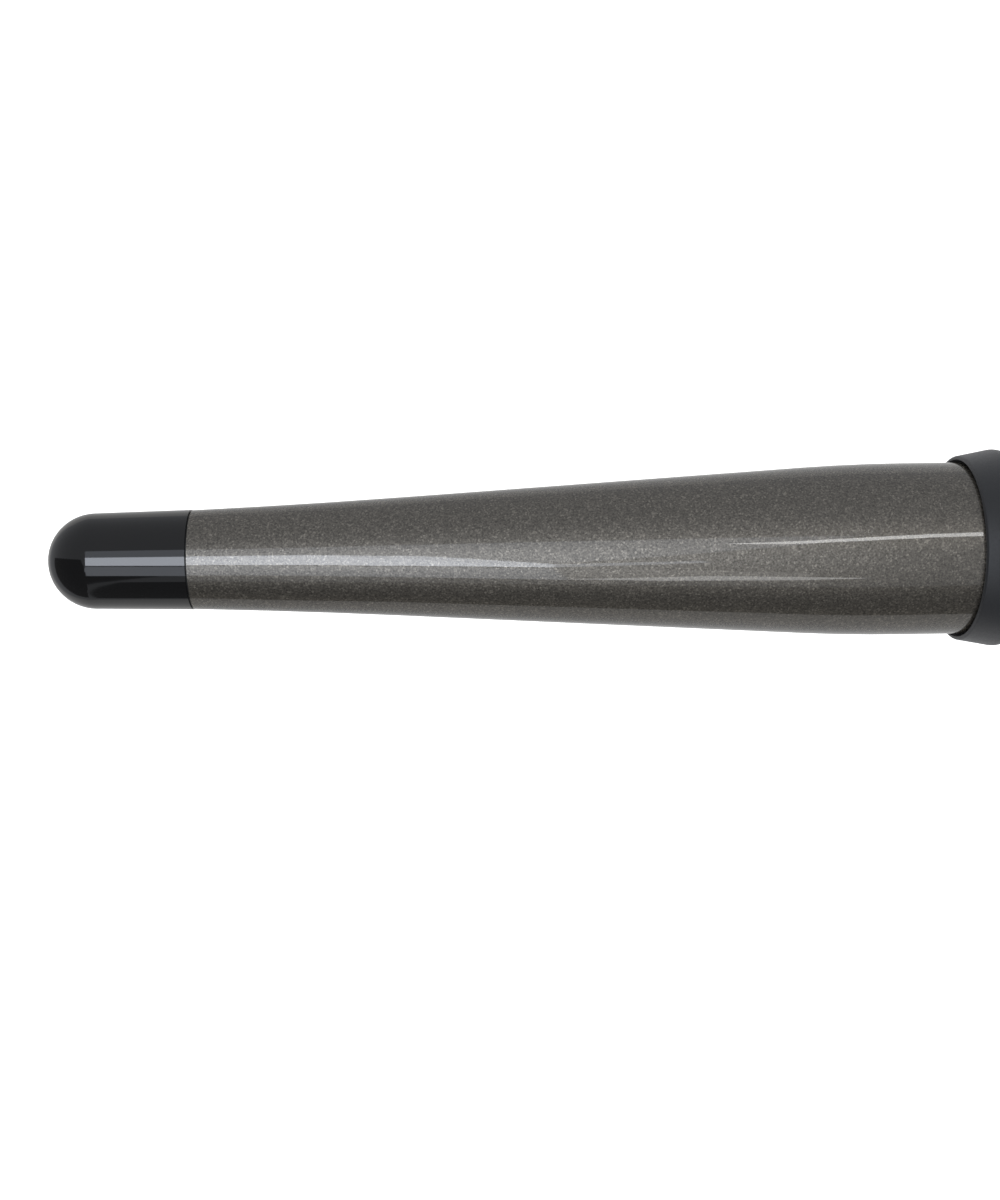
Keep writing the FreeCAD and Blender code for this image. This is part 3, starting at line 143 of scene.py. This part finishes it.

# Barrel: drawn aluminium tube, tapered to the tip and sprayed with a pearl ceramic coat. Fine flakes
# lie in the pewter-brown layer, and a clear glassy layer over them is smooth and mirrors the lights.
# Real flakes are under a tenth of a millimetre. These are drawn coarser, so that they show. Their
# sparkle is a painted glint: bright specks painted into the base colour.
FLAKE = 0.34
PAINTED_GLINT_SIZE = 0.3
CLOUD = 2.6
pearl, tree = new_finish("pearl_ceramic_coat_sprayed")
place = add(tree, "ShaderNodeTexCoord").outputs["Object"]
flakes = add(tree, "ShaderNodeTexNoise", Vector=place, Scale=1 / (FLAKE * MM), Detail=2.0, Roughness=0.6)
clouds = add(tree, "ShaderNodeTexNoise", Vector=place, Scale=1 / (CLOUD * MM), Detail=2.0)
fleck = add(tree, "ShaderNodeMapRange", Value=flakes.outputs["Fac"], From_Min=0.3, From_Max=0.7,
            To_Min=0.54, To_Max=1.46)
cloud = add(tree, "ShaderNodeMapRange", Value=clouds.outputs["Fac"], From_Min=0.3, From_Max=0.7,
            To_Min=0.95, To_Max=1.05)
# Painted glints: small cells painted brighter in the base colour stand in for the flakes' sparkle.
painted_glint_cells = add(tree, "ShaderNodeTexVoronoi", Vector=place, Scale=1 / (PAINTED_GLINT_SIZE * MM))
painted_glint = add(tree, "ShaderNodeMapRange", Value=painted_glint_cells.outputs["Color"], From_Min=0.62, From_Max=0.9,
            To_Min=1.0, To_Max=1.8)
even = add(tree, "ShaderNodeMath", {"operation": "MULTIPLY"}, i0=fleck.outputs[0], i1=cloud.outputs[0])
# The base colour's tone is the flakes' and clouds' own tone times the painted glints.
flake_tone_and_painted_glint = add(tree, "ShaderNodeMath", {"operation": "MULTIPLY"}, i0=even.outputs[0], i1=painted_glint.outputs[0])
tint = add(tree, "ShaderNodeMix", {"data_type": "RGBA", "blend_type": "MULTIPLY"}, i0=1.0,
           i6=linear("#625e57"), i7=flake_tone_and_painted_glint.outputs[0])
relief = add(tree, "ShaderNodeBump", Height=flakes.outputs["Fac"], Distance=0.07 * MM, Strength=0.8)
skin = add(tree, "ShaderNodeBsdfPrincipled", Base_Color=tint.outputs[2], Metallic=0.9, Roughness=0.43,
           Specular_Tint=linear("#2a2a2a"), Coat_Weight=1.0, Coat_Roughness=0.04,
           Normal=relief.outputs[0])
add(tree, "ShaderNodeOutputMaterial", Surface=skin.outputs[0])


def dress(node, finish):
    """Gives a CAD piece that stays in view its finish."""
    for holder in frame["nodes"][node].material_slots:
        holder.material = finish


dress("barrel", pearl)

# Cool tip: moulded from a gloss black heat-proof nylon in a polished mould, and pressed into the
# barrel. A polished mould gives a deep, glassy gloss with faint flow marks in it.
DRIFT = 14.0


def grained(name, light, dark, metallic, roughness, grain, depth):
    """Finish whose colour drifts slowly and whose fine grain has a size and a depth in mm."""
    finish, tree = new_finish(name)
    place = add(tree, "ShaderNodeTexCoord").outputs["Object"]
    drift = add(tree, "ShaderNodeTexNoise", Vector=place, Scale=1 / (DRIFT * MM), Detail=3.0)
    fine = add(tree, "ShaderNodeTexNoise", Vector=place, Scale=1 / (grain * MM), Detail=3.0)
    tint = add(tree, "ShaderNodeMix", {"data_type": "RGBA"}, i0=drift.outputs["Fac"],
               i6=linear(light), i7=linear(dark))
    matt = add(tree, "ShaderNodeMapRange", Value=fine.outputs["Fac"], From_Min=0.3, From_Max=0.7,
               To_Min=roughness * 0.85, To_Max=roughness * 1.15)
    relief = add(tree, "ShaderNodeBump", Height=fine.outputs["Fac"], Distance=depth * MM, Strength=1.0)
    skin = add(tree, "ShaderNodeBsdfPrincipled", Base_Color=tint.outputs[2], Metallic=metallic,
               Roughness=matt.outputs[0], Normal=relief.outputs[0])
    add(tree, "ShaderNodeOutputMaterial", Surface=skin.outputs[0])
    return finish


gloss_nylon = grained("gloss_black_nylon_polished_mould", "#0b0b0c", "#101011", 0.0, 0.055, 6.0, 0.0008)
dress("cool_tip", gloss_nylon)

# Tip seal and clip: a thin black silicone washer that shows as the dark line in the seam, and an open
# ring of tempered spring steel that grips the barrel's bore.
# Moulded silicone is dull and even. Rolled and tempered spring steel has a grey satin shine.
silicone = grained("black_silicone_moulded", "#080808", "#0c0c0c", 0.0, 0.6, 0.8, 0.01)
dress("tip_seal", silicone)
spring_steel = grained("tempered_spring_steel", "#8b8d92", "#74767c", 1.0, 0.3, 0.5, 0.003)
dress("tip_clip", spring_steel)

# Heater: two extruded aluminium shoes with a dark PTC tile between brass electrodes, wavy steel
# springs beside it, a nickel-plated fuse can and a glass-bead sensor.
# Extrusion leaves a soft grey shine, sintering a dry dark grain, rolling a warm smooth shine on the
# brass, and nickel plating a bright yellowish one. The bead is clear brown glass.
extruded = grained("extruded_aluminium_shoes", "#b9bcc0", "#a3a6ab", 1.0, 0.36, 0.9, 0.006)
ptc_tile = grained("sintered_ptc_ceramic", "#3b3a3c", "#2c2b2d", 0.0, 0.7, 0.3, 0.01)
brass = grained("rolled_brass_strip", "#b99a55", "#a5853f", 1.0, 0.28, 0.6, 0.003)
nickel = grained("nickel_plated_fuse_can", "#b3afa5", "#9d998f", 1.0, 0.22, 0.5, 0.002)
glass_bead = grained("glass_bead_sensor", "#8c3f1e", "#6f2d14", 0.0, 0.15, 0.8, 0.004)
MERGE = 0.001 * MM
DUST = 0.002 * MM
FLAT_WITHIN = math.radians(0.2)
EASE_FROM = math.radians(32)
SMOOTH_WITHIN = math.radians(35)


def eased(node, body, finish, width):
    """Copy of a CAD piece with its sharp edges eased by a width in mm, standing for that piece."""
    piece = bpy.data.objects.new(node + "_eased", frame["nodes"][node].data.copy())
    bpy.context.collection.objects.link(piece)
    bpy.ops.object.select_all(action="DESELECT")
    bpy.context.view_layer.objects.active = piece
    piece.select_set(True)
    bpy.ops.object.mode_set(mode="EDIT")
    bpy.ops.mesh.select_all(action="SELECT")
    bpy.ops.mesh.remove_doubles(threshold=MERGE)
    bpy.ops.mesh.customdata_custom_splitnormals_clear()
    bpy.ops.mesh.dissolve_limited(angle_limit=FLAT_WITHIN)
    bpy.ops.object.mode_set(mode="OBJECT")
    edges = piece.modifiers.new("eased_edges", "BEVEL")
    edges.width = width * MM
    edges.segments = 3
    edges.limit_method = "ANGLE"
    edges.angle_limit = EASE_FROM
    bpy.ops.object.modifier_apply(modifier="eased_edges")
    bpy.ops.object.mode_set(mode="EDIT")
    bpy.ops.mesh.select_all(action="SELECT")
    bpy.ops.mesh.remove_doubles(threshold=DUST)
    bpy.ops.mesh.dissolve_degenerate(threshold=DUST)
    bpy.ops.object.mode_set(mode="OBJECT")
    bpy.ops.object.shade_smooth_by_angle(angle=SMOOTH_WITHIN)
    seated(piece, body, finish, node)


def seated(piece, body, finish, slot, stands_for_it=True):
    """Gives a finished piece its only material and its body, and hides the CAD piece named by slot if it
    stands for it.
    """
    piece.data.materials.clear()
    piece.data.materials.append(finish)
    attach(piece, body)
    if stands_for_it:
        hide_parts(slot)


for node in ("heater_shoe_upper", "heater_shoe_lower"):
    eased(node, "wand", extruded, 0.2)
eased("ptc_element", "wand", ptc_tile, 0.1)
dress("heater_electrodes", brass)
dress("shoe_springs", spring_steel)
eased("thermal_fuse", "wand", nickel, 0.4)
eased("temperature_sensor", "wand", glass_bead, 0.5)

# Barrel holder: turned from the moulding press in glass-filled brown resin, with a split mica washer
# in front of it and four zinc-plated set screws through the barrel's root.
# Pressed resin with glass in it has a fine dry grain. Its brown drifts a little.
phenolic = grained("glass_filled_brown_resin", "#3a2a20", "#2c1f17", 0.0, 0.45, 0.35, 0.008)
eased("barrel_holder", "wand", phenolic, 0.25)
# Mica is pressed from flakes, and each one shines by itself.
mica, tree = new_finish("pressed_mica_sheet")
place = add(tree, "ShaderNodeTexCoord").outputs["Object"]
scales = add(tree, "ShaderNodeTexVoronoi", Vector=place, Scale=1 / (1.4 * MM))
shine = add(tree, "ShaderNodeMapRange", Value=scales.outputs["Color"], To_Min=0.15, To_Max=0.5)
tint = add(tree, "ShaderNodeMix", {"data_type": "RGBA"}, i0=scales.outputs["Color"],
           i6=linear("#c7b68c"), i7=linear("#9d8a5e"))
skin = add(tree, "ShaderNodeBsdfPrincipled", Base_Color=tint.outputs[2], Metallic=0.3,
           Roughness=shine.outputs[0])
add(tree, "ShaderNodeOutputMaterial", Surface=skin.outputs[0])
dress("mica_washer", mica)
# Zinc plating has a cool, cloudy shine.
zinc = grained("zinc_plated_steel", "#b4b8bd", "#9a9ea6", 1.0, 0.27, 0.5, 0.003)
eased("barrel_screws", "wand", zinc, 0.15)

# Guard ring and handle shells: moulded black ABS with a rubbery soft-touch paint. The paint has a
# fine orange-peel grain, and it is satin where it turns away from the light. The shells' eased edges
# meet in the parting line along both sides.
soft_touch = grained("soft_touch_paint_on_abs", "#1e1f22", "#191a1c", 0.0, 0.52, 0.28, 0.006)
skin = soft_touch.node_tree.nodes["Principled BSDF"]
skin.inputs["Sheen Weight"].default_value = 0.12
skin.inputs["Sheen Roughness"].default_value = 0.5
dress("guard_ring", soft_touch)
eased("handle_upper_shell", "wand", soft_touch, 0.3)
eased("handle_lower_shell", "wand", soft_touch, 0.3)

# Handle screws: two pan-head screws of zinc-plated steel with a cross recess, driven up from below
# through the lower shell into the upper one.
SWIVEL_FROM_RING = 166.7
swivel_joint = next(joint for joint in frame["joints"] if joint["name"] == "cord_swivel")
axis = Vector(swivel_joint["axis"]).normalized()
side = Vector((0.0, 1.0, 0.0))
ring_face = Vector(swivel_joint["pos_m"]) - axis * SWIVEL_FROM_RING * MM
WAND = Matrix.Translation(ring_face) @ Matrix((axis, side, axis.cross(side))).transposed().to_4x4()


def span(node):
    """Lowest and highest corner of a CAD piece in the wand's own frame, whose X runs along the axis."""
    places = [WAND.inverted() @ vertex.co for vertex in frame["nodes"][node].data.vertices]
    return (Vector([min(place[k] for place in places) for k in range(3)]),
            Vector([max(place[k] for place in places) for k in range(3)]))


def start_disc(name, centre, radius, depth, sides=64):
    """Upright disc to be shaped in edit mode; centre is the middle of its lower face."""
    bpy.ops.object.select_all(action="DESELECT")
    bpy.ops.mesh.primitive_cylinder_add(vertices=sides, radius=radius, depth=depth,
                                        location=centre + Vector((0.0, 0.0, depth / 2)))
    piece = bpy.context.object
    piece.name = name
    bpy.ops.object.transform_apply(location=True, rotation=True, scale=True)
    return piece


def pick(piece, kind, chosen):
    """Edit mode with only those vertices or faces selected that chosen accepts."""
    bpy.context.view_layer.objects.active = piece
    bpy.ops.object.mode_set(mode="EDIT")
    bpy.ops.mesh.select_mode(type=kind)
    bpy.ops.mesh.select_all(action="DESELECT")
    bpy.ops.object.mode_set(mode="OBJECT")
    for item in (piece.data.polygons if kind == "FACE" else piece.data.vertices):
        item.select = chosen(item)
    bpy.ops.object.mode_set(mode="EDIT")


def pick_end(piece, top):
    """Edit mode with only the piece's highest or lowest flat face selected; returns its centre."""
    way = 1 if top else -1
    facing = [face for face in piece.data.polygons if way * face.normal.z > 0.9]
    end = max(facing, key=lambda face: (round(way * face.center.z, 6), face.area))
    number, centre = end.index, end.center.copy()
    pick(piece, "FACE", lambda face: face.index == number)
    return centre


def grow_end(piece, top, inset, rise, spread=1.0):
    """Narrows the end face by inset, extrudes it by rise, and widens or narrows it by spread."""
    centre = pick_end(piece, top)
    if inset:
        bpy.ops.mesh.inset(thickness=inset)
    if rise:
        bpy.ops.mesh.extrude_region_move(TRANSFORM_OT_translate={"value": (0.0, 0.0, rise)})
    if spread != 1.0:
        bpy.ops.transform.resize(value=(spread, spread, 1.0),
                                 center_override=centre + Vector((0.0, 0.0, rise)))
    bpy.ops.object.mode_set(mode="OBJECT")


def ease_edges(piece, width, segments, angle=30):
    """Rounds the piece's sharp edges."""
    edges = piece.modifiers.new("round", "BEVEL")
    edges.width = width
    edges.segments = segments
    edges.limit_method = "ANGLE"
    edges.angle_limit = math.radians(angle)
    bpy.context.view_layer.objects.active = piece
    bpy.ops.object.modifier_apply(modifier="round")
    bpy.ops.object.shade_smooth_by_angle(angle=SMOOTH_WITHIN)


def lay_on_wand(piece):
    """Turns a piece that was made in the wand's frame into the scene's frame, place and all."""
    bpy.ops.object.select_all(action="DESELECT")
    bpy.context.view_layer.objects.active = piece
    piece.select_set(True)
    piece.matrix_world = WAND
    bpy.ops.object.transform_apply(location=True, rotation=True, scale=True)


def twin(piece, shift):
    """Copy of a piece, moved by shift, with its own mesh."""
    bpy.ops.object.select_all(action="DESELECT")
    bpy.context.view_layer.objects.active = piece
    piece.select_set(True)
    bpy.ops.object.duplicate(linked=False)
    bpy.ops.transform.translate(value=shift)
    bpy.ops.object.transform_apply(location=True, rotation=True, scale=True)
    return bpy.context.object


def joined(name, pieces):
    """One piece from several."""
    bpy.ops.object.select_all(action="DESELECT")
    for piece in pieces:
        piece.select_set(True)
    bpy.context.view_layer.objects.active = pieces[0]
    if len(pieces) > 1:
        bpy.ops.object.join()
    pieces[0].name = name
    return pieces[0]


# The heads' seats lie 10 mm below the wand's axis, in the lower shell.
SEAT_Z = -10.0 * MM
HEAD_RADIUS = 2.5 * MM
SHANK_RADIUS = 1.4 * MM
THREAD_PITCH = 0.9 * MM
THREAD_ROOT = 0.86
HEAD_ROUND = 0.5 * MM
CROSS_LONG = 1.15 * HEAD_RADIUS
CROSS_WIDE = 0.24 * HEAD_RADIUS
CROSS_DEEP = 1.1
low, high = span("handle_screws")
head_height = SEAT_Z - low.z
head = Vector((low.x + HEAD_RADIUS, 0.0, low.z))
screw = start_disc("handle_screw", head, HEAD_RADIUS, head_height)
ease_edges(screw, HEAD_ROUND, 4, 55)
for quarter in (0, 90):
    bpy.ops.object.select_all(action="DESELECT")
    bpy.ops.mesh.primitive_cube_add(size=1.0, location=head, rotation=(0.0, 0.0, math.radians(quarter)),
                                    scale=(CROSS_LONG, CROSS_WIDE, head_height * CROSS_DEEP))
    blade = bpy.context.object
    recess = screw.modifiers.new("recess", "BOOLEAN")
    recess.object = blade
    recess.operation = "DIFFERENCE"
    bpy.context.view_layer.objects.active = screw
    bpy.ops.object.modifier_apply(modifier="recess")
    bpy.data.objects.remove(blade)
grow_end(screw, True, HEAD_RADIUS - HEAD_ROUND - SHANK_RADIUS * THREAD_ROOT, 0.0)
for turn in range(int((high.z - SEAT_Z) / THREAD_PITCH)):
    grow_end(screw, True, 0.0, THREAD_PITCH / 2, 1 / THREAD_ROOT)
    grow_end(screw, True, 0.0, THREAD_PITCH / 2, THREAD_ROOT)
rear_screw = twin(screw, (high.x - low.x - 2 * HEAD_RADIUS, 0.0, 0.0))
handle_screws = joined("handle_screws_cross", [screw, rear_screw])
lay_on_wand(handle_screws)
seated(handle_screws, "wand", zinc, "handle_screws")

# Control panel: a satin black inlay moulded in polycarbonate and snapped into the upper shell, with a
# lens of smoked acrylic that is flush with it.
# A satin mould takes the shine off the panel. Cast acrylic is clear and glossy.
satin_panel = grained("satin_black_polycarbonate_panel", "#101012", "#0c0c0e", 0.0, 0.3, 0.3, 0.003)
eased("control_panel", "wand", satin_panel, 0.18)
smoked = grained("smoked_acrylic_lens", "#5a5a60", "#505056", 0.0, 0.04, 9.0, 0.0004)
skin = smoked.node_tree.nodes["Principled BSDF"]
skin.inputs["Transmission Weight"].default_value = 1.0
skin.inputs["IOR"].default_value = 1.49
eased("display_window", "wand", smoked, 0.12)

# Display: a dark module on the board under the lens. Its digits are raised light bars, as on any
# seven-bar display, and they show a temperature.
# The case is dull black, so that only the bars show through the lens.
module = grained("black_display_case", "#101012", "#0c0c0e", 0.0, 0.4, 0.4, 0.004)
eased("display_module", "wand", module, 0.2)
lit, tree = new_finish("lit_amber_display_bars")
place = add(tree, "ShaderNodeTexCoord").outputs["Object"]
cells = add(tree, "ShaderNodeTexNoise", Vector=place, Scale=1 / (0.5 * MM), Detail=1.0)
tint = add(tree, "ShaderNodeMix", {"data_type": "RGBA"}, i0=cells.outputs["Fac"],
           i6=linear("#ff9a3d"), i7=linear("#ff7a1c"))
skin = add(tree, "ShaderNodeBsdfPrincipled", Base_Color=tint.outputs[2], Roughness=0.4,
           Emission_Color=tint.outputs[2], Emission_Strength=2.6)
add(tree, "ShaderNodeOutputMaterial", Surface=skin.outputs[0])
ALONG = Vector((1.0, 0.0, 0.0))
ACROSS = Vector((0.0, 1.0, 0.0))
BAR_LONG = 2.1 * MM
BAR_REACH = 0.94 * BAR_LONG
BAR_WIDE = 0.42 * MM
BAR_HIGH = 0.15 * MM
DIGIT_PITCH = 3.7 * MM


def thin_bar(centre, length, width, height, way, sides):
    """Low bar whose length runs along way, with pointed or rounded ends."""
    turn = math.pi / sides + math.atan2(way.y, way.x)
    bpy.ops.object.select_all(action="DESELECT")
    bpy.ops.mesh.primitive_cylinder_add(vertices=sides, radius=width / 2, depth=height, location=centre,
                                        rotation=(0.0, 0.0, turn))
    bar = bpy.context.object
    bpy.ops.object.transform_apply(location=True, rotation=True, scale=True)
    for half in (-1, 1):
        pick(bar, "VERT", lambda vertex: half * (vertex.co - centre).dot(way) > 0)
        bpy.ops.transform.translate(value=way * half * (length - width) / 2)
        bpy.ops.object.mode_set(mode="OBJECT")
    return bar


low, high = span("display_module")
middle = Vector(((low.x + high.x) / 2, 0.0, high.z))
flat_bar = thin_bar(middle, BAR_REACH, BAR_WIDE, BAR_HIGH, ALONG, 6)
upright_bar = thin_bar(middle, BAR_REACH, BAR_WIDE, BAR_HIGH, ACROSS, 6)
BARS = {"a": (flat_bar, 0, 1), "g": (flat_bar, 0, 0), "d": (flat_bar, 0, -1), "f": (upright_bar, -0.5, 0.5),
        "b": (upright_bar, 0.5, 0.5), "e": (upright_bar, -0.5, -0.5), "c": (upright_bar, 0.5, -0.5)}
DIGITS = ("abged", "bc", "abcdef")
bars = []
for number, shape in enumerate(DIGITS):
    for letter in shape:
        master, right, up = BARS[letter]
        shift = ((number - 1) * DIGIT_PITCH + right * BAR_LONG, up * BAR_LONG, 0.0)
        bars.append(twin(master, shift))
bpy.data.objects.remove(flat_bar)
bpy.data.objects.remove(upright_bar)
digits = joined("display_digits", bars)
lay_on_wand(digits)
seated(digits, "wand", lit, "display_module", False)

# Buttons: satin black caps with a dished top and a flange that stops them under the shell. The marks
# on them are the usual power, plus and minus signs, pad-printed in white.
# A spark-eroded mould gives the keys a fine satin grain. The ink lies on it as flat white.
satin_key = grained("satin_black_key_abs", "#232427", "#1d1e20", 0.0, 0.3, 0.25, 0.004)
print_white = grained("pad_printed_white_ink", "#e9e9e6", "#dcdcd8", 0.0, 0.5, 0.3, 0.003)
DISH = 0.22 * MM
RIM_SHARE = 0.2
STEM_RADIUS = 1.5 * MM
KEY_ROUND = 0.25 * MM
INK = 0.06 * MM
tops = {}
for key, radius in (("power", 4.0 * MM), ("plus", 3.4 * MM), ("minus", 3.4 * MM)):
    low, high = span(key + "_button")
    x = (low.x + high.x) / 2
    flange = (high.x - low.x) / 2
    corners = frame["nodes"][key + "_button"].data.vertices
    under, over = sorted({round((WAND.inverted() @ corner.co).z, 5) for corner in corners})[1:3]
    cap = start_disc(key + "_cap", Vector((x, 0.0, under)), flange, over - under, 96)
    grow_end(cap, True, flange - radius, high.z - over)
    grow_end(cap, True, radius * RIM_SHARE, 0.0)
    pick_end(cap, True)
    bpy.ops.transform.translate(value=(0.0, 0.0, -DISH))
    bpy.ops.object.mode_set(mode="OBJECT")
    grow_end(cap, False, flange - STEM_RADIUS, low.z - under)
    ease_edges(cap, KEY_ROUND, 4, 25)
    lay_on_wand(cap)
    seated(cap, key + "_key", satin_key, key + "_button")
    tops[key] = Vector((x, 0.0, high.z - DISH))


INK_WIDE = 0.5 * MM
SIGN_LONG = 2.6 * MM
marks = {"minus": [thin_bar(tops["minus"], SIGN_LONG, INK_WIDE, 2 * INK, ALONG, 24)],
         "plus": [thin_bar(tops["plus"], SIGN_LONG, INK_WIDE, 2 * INK, ALONG, 24),
                  thin_bar(tops["plus"], SIGN_LONG, INK_WIDE, 2 * INK, ACROSS, 24)]}
RING_RADIUS = 1.5 * MM
RING_OPEN = math.radians(70)
STROKE_LONG = 1.9 * MM
about = tops["power"]
half_open = Matrix.Rotation(RING_OPEN / 2, 4, "Z")
bpy.ops.object.select_all(action="DESELECT")
bpy.ops.mesh.primitive_cube_add(size=1.0, location=about + half_open @ (ACROSS * RING_RADIUS),
                                rotation=half_open.to_euler(), scale=(0.02 * MM, INK_WIDE * 0.8, 2 * INK))
arc = bpy.context.object
bpy.ops.object.transform_apply(location=True, rotation=True, scale=True)
heading = half_open @ -ALONG
pick(arc, "FACE", lambda face: face.normal.dot(heading) > 0.9)
bpy.ops.mesh.spin(steps=36, angle=RING_OPEN - 2 * math.pi, center=about, axis=(0.0, 0.0, 1.0))
bpy.ops.mesh.select_all(action="SELECT")
bpy.ops.mesh.normals_make_consistent(inside=False)
bpy.ops.object.mode_set(mode="OBJECT")
stroke_middle = about + ACROSS * STROKE_LONG / 2
marks["power"] = [arc, thin_bar(stroke_middle, STROKE_LONG, INK_WIDE, 2 * INK, ACROSS, 24)]
for key, shapes in marks.items():
    mark = joined(key + "_mark", shapes)
    lay_on_wand(mark)
    seated(mark, key + "_key", print_white, key + "_button", False)

# Plungers and switches: white acetal plungers in the moulded cases of three push switches.
# Moulded acetal has a waxy, half-dull white.
acetal = grained("white_acetal_plungers", "#d9d9d4", "#cfcfc9", 0.0, 0.4, 0.4, 0.003)
for key in ("power", "plus", "minus"):
    eased(key + "_plunger", key + "_key", acetal, 0.15)
switch_case = grained("moulded_switch_cases", "#2a2a2c", "#222224", 0.0, 0.42, 0.3, 0.004)
eased("tact_switches", "wand", switch_case, 0.2)

# Circuit board: green solder mask over copper tracks on glass laminate, hung from bosses by four small
# screws. The tracks are drawn coarser than real ones, so that they show.
board, tree = new_finish("green_solder_mask_on_laminate")
place = add(tree, "ShaderNodeTexCoord").outputs["Object"]
tracks = add(tree, "ShaderNodeTexBrick", Vector=place, Scale=1.0, Mortar_Size=0.35 * MM,
             Brick_Width=9.0 * MM, Row_Height=1.9 * MM, Color1=linear("#0f4a2a"), Color2=linear("#12512f"),
             Mortar=linear("#2b7a45"))
weave = add(tree, "ShaderNodeTexNoise", Vector=place, Scale=1 / (0.6 * MM), Detail=1.0)
relief = add(tree, "ShaderNodeBump", Height=weave.outputs["Fac"], Distance=0.004 * MM, Strength=1.0)
skin = add(tree, "ShaderNodeBsdfPrincipled", Base_Color=tracks.outputs["Color"], Roughness=0.25,
           Normal=relief.outputs[0])
add(tree, "ShaderNodeOutputMaterial", Surface=skin.outputs[0])
dress("circuit_board", board)
eased("board_screws", "wand", zinc, 0.2)

# Parts on the board: terminals in green nylon, a white plug, a triac and a controller in black epoxy
# with tinned legs, and a capacitor in a blue sleeve.
# Moulded nylon is half-dull, epoxy is dry and black, and a shrunk sleeve is glossy.
terminal_nylon = grained("green_nylon_terminals", "#2f7a4f", "#286a44", 0.0, 0.38, 0.4, 0.004)
eased("heater_terminal", "wand", terminal_nylon, 0.25)
eased("supply_terminal", "wand", terminal_nylon, 0.25)
plug_nylon = grained("natural_nylon_plug", "#e4e0d3", "#d9d4c5", 0.0, 0.42, 0.4, 0.004)
eased("sensor_connector", "wand", plug_nylon, 0.2)
epoxy = grained("black_epoxy_packages", "#1b1b1d", "#151516", 0.0, 0.55, 0.2, 0.006)
eased("triac", "wand", epoxy, 0.25)
eased("controller_chip", "wand", epoxy, 0.15)
sleeve = grained("blue_capacitor_sleeve", "#1f3e6b", "#1a355c", 0.0, 0.28, 0.8, 0.004)
eased("capacitor", "wand", sleeve, 0.7)
low, high = span("controller_chip")
LEG_PITCH = 0.8 * MM
LEG_WIDE = 0.35 * MM
LEG_OUT = 0.9 * MM
LEG_THICK = 0.16 * MM
LEG_BEND = 0.45 * MM
LEG_LIFT = 0.1 * MM
LEG_ROUND = 0.04 * MM
LEGS_EACH_SIDE = 7
# Dipping in tin leaves a soft bright metal.
tinned = grained("tinned_copper_legs", "#c3c5c7", "#aeb0b3", 1.0, 0.3, 0.4, 0.002)
first = (low.x + high.x) / 2 - (LEGS_EACH_SIDE - 1) / 2 * LEG_PITCH
legs = []
for hand in (-1, 1):
    foot = Vector((first, hand * (high.y + LEG_OUT / 2), high.z - LEG_LIFT))
    bpy.ops.object.select_all(action="DESELECT")
    bpy.ops.mesh.primitive_cube_add(size=1.0, location=foot, scale=(LEG_WIDE, LEG_OUT, LEG_THICK))
    leg = bpy.context.object
    bpy.ops.object.transform_apply(location=True, rotation=True, scale=True)
    pick(leg, "FACE", lambda face: face.normal.y * hand < -0.9)
    bpy.ops.transform.translate(value=(0.0, 0.0, -LEG_BEND))
    bpy.ops.object.mode_set(mode="OBJECT")
    ease_edges(leg, LEG_ROUND, 1)
    legs += [leg] + [twin(leg, (step * LEG_PITCH, 0.0, 0.0)) for step in range(1, LEGS_EACH_SIDE)]
chip_legs = joined("controller_chip_legs", legs)
lay_on_wand(chip_legs)
seated(chip_legs, "wand", tinned, "controller_chip", False)

# End ring and cord swivel: a gloss black moulded ring closes the shells, and a soft black gland turns
# in it, with brass slip rings on its stem and carbon brushes in a resin fork.
# The ring has the gloss of a polished mould. The gland is matt, as rubbery plastics are.
gloss_ring = grained("gloss_black_abs_end_ring", "#0a0a0b", "#0e0e10", 0.0, 0.07, 7.0, 0.0006)
dress("end_ring", gloss_ring)
gland_rubber = grained("soft_black_gland_elastomer", "#17181a", "#121314", 0.0, 0.6, 0.3, 0.006)
dress("swivel_gland", gland_rubber)
for ring in ("slip_ring_live", "slip_ring_neutral"):
    eased(ring, "swivel", brass, 0.1)
carbon = grained("pressed_carbon_brushes", "#26272a", "#1b1c1e", 0.2, 0.5, 0.25, 0.006)
for brush in ("brush_live", "brush_neutral"):
    eased(brush, "wand", carbon, 0.1)
eased("brush_holder", "wand", phenolic, 0.25)

# Rest stand: a folding flap moulded in the same black ABS, that swings on a ground steel pin between
# two lugs and carries the wand off the table.
eased("rest_stand", "stand", soft_touch, 0.25)
eased("stand_pin", "wand", zinc, 0.15)

# Leads: the heater's stranded wires in white silicone, the sensor's thin pair in dark red enamel,
# and the supply's pair, brown on one side and blue on the other.
# Silicone is matt and slightly uneven, baked enamel is glossy, and drawn PVC is half-dull.
white_silicone = grained("white_silicone_insulation", "#dedcd5", "#d2d0c8", 0.0, 0.45, 0.5, 0.004)
dress("heater_leads", white_silicone)
enamel = grained("red_enamelled_wire", "#6e2a1c", "#5c2116", 0.0, 0.3, 0.4, 0.002)
dress("sensor_leads", enamel)
supply, tree = new_finish("brown_and_blue_pvc_insulation")
place = add(tree, "ShaderNodeTexCoord").outputs["Object"]
parts = add(tree, "ShaderNodeSeparateXYZ", Vector=place)
live_side = add(tree, "ShaderNodeMath", {"operation": "GREATER_THAN"}, i0=parts.outputs["Y"], i1=0.0)
tint = add(tree, "ShaderNodeMix", {"data_type": "RGBA"}, i0=live_side.outputs[0],
           i6=linear("#1d4d86"), i7=linear("#5a3420"))
fine = add(tree, "ShaderNodeTexNoise", Vector=place, Scale=1 / (0.5 * MM), Detail=2.0)
relief = add(tree, "ShaderNodeBump", Height=fine.outputs["Fac"], Distance=0.004 * MM, Strength=1.0)
skin = add(tree, "ShaderNodeBsdfPrincipled", Base_Color=tint.outputs[2], Roughness=0.4,
           Normal=relief.outputs[0])
add(tree, "ShaderNodeOutputMaterial", Surface=skin.outputs[0])
dress("supply_leads", supply)
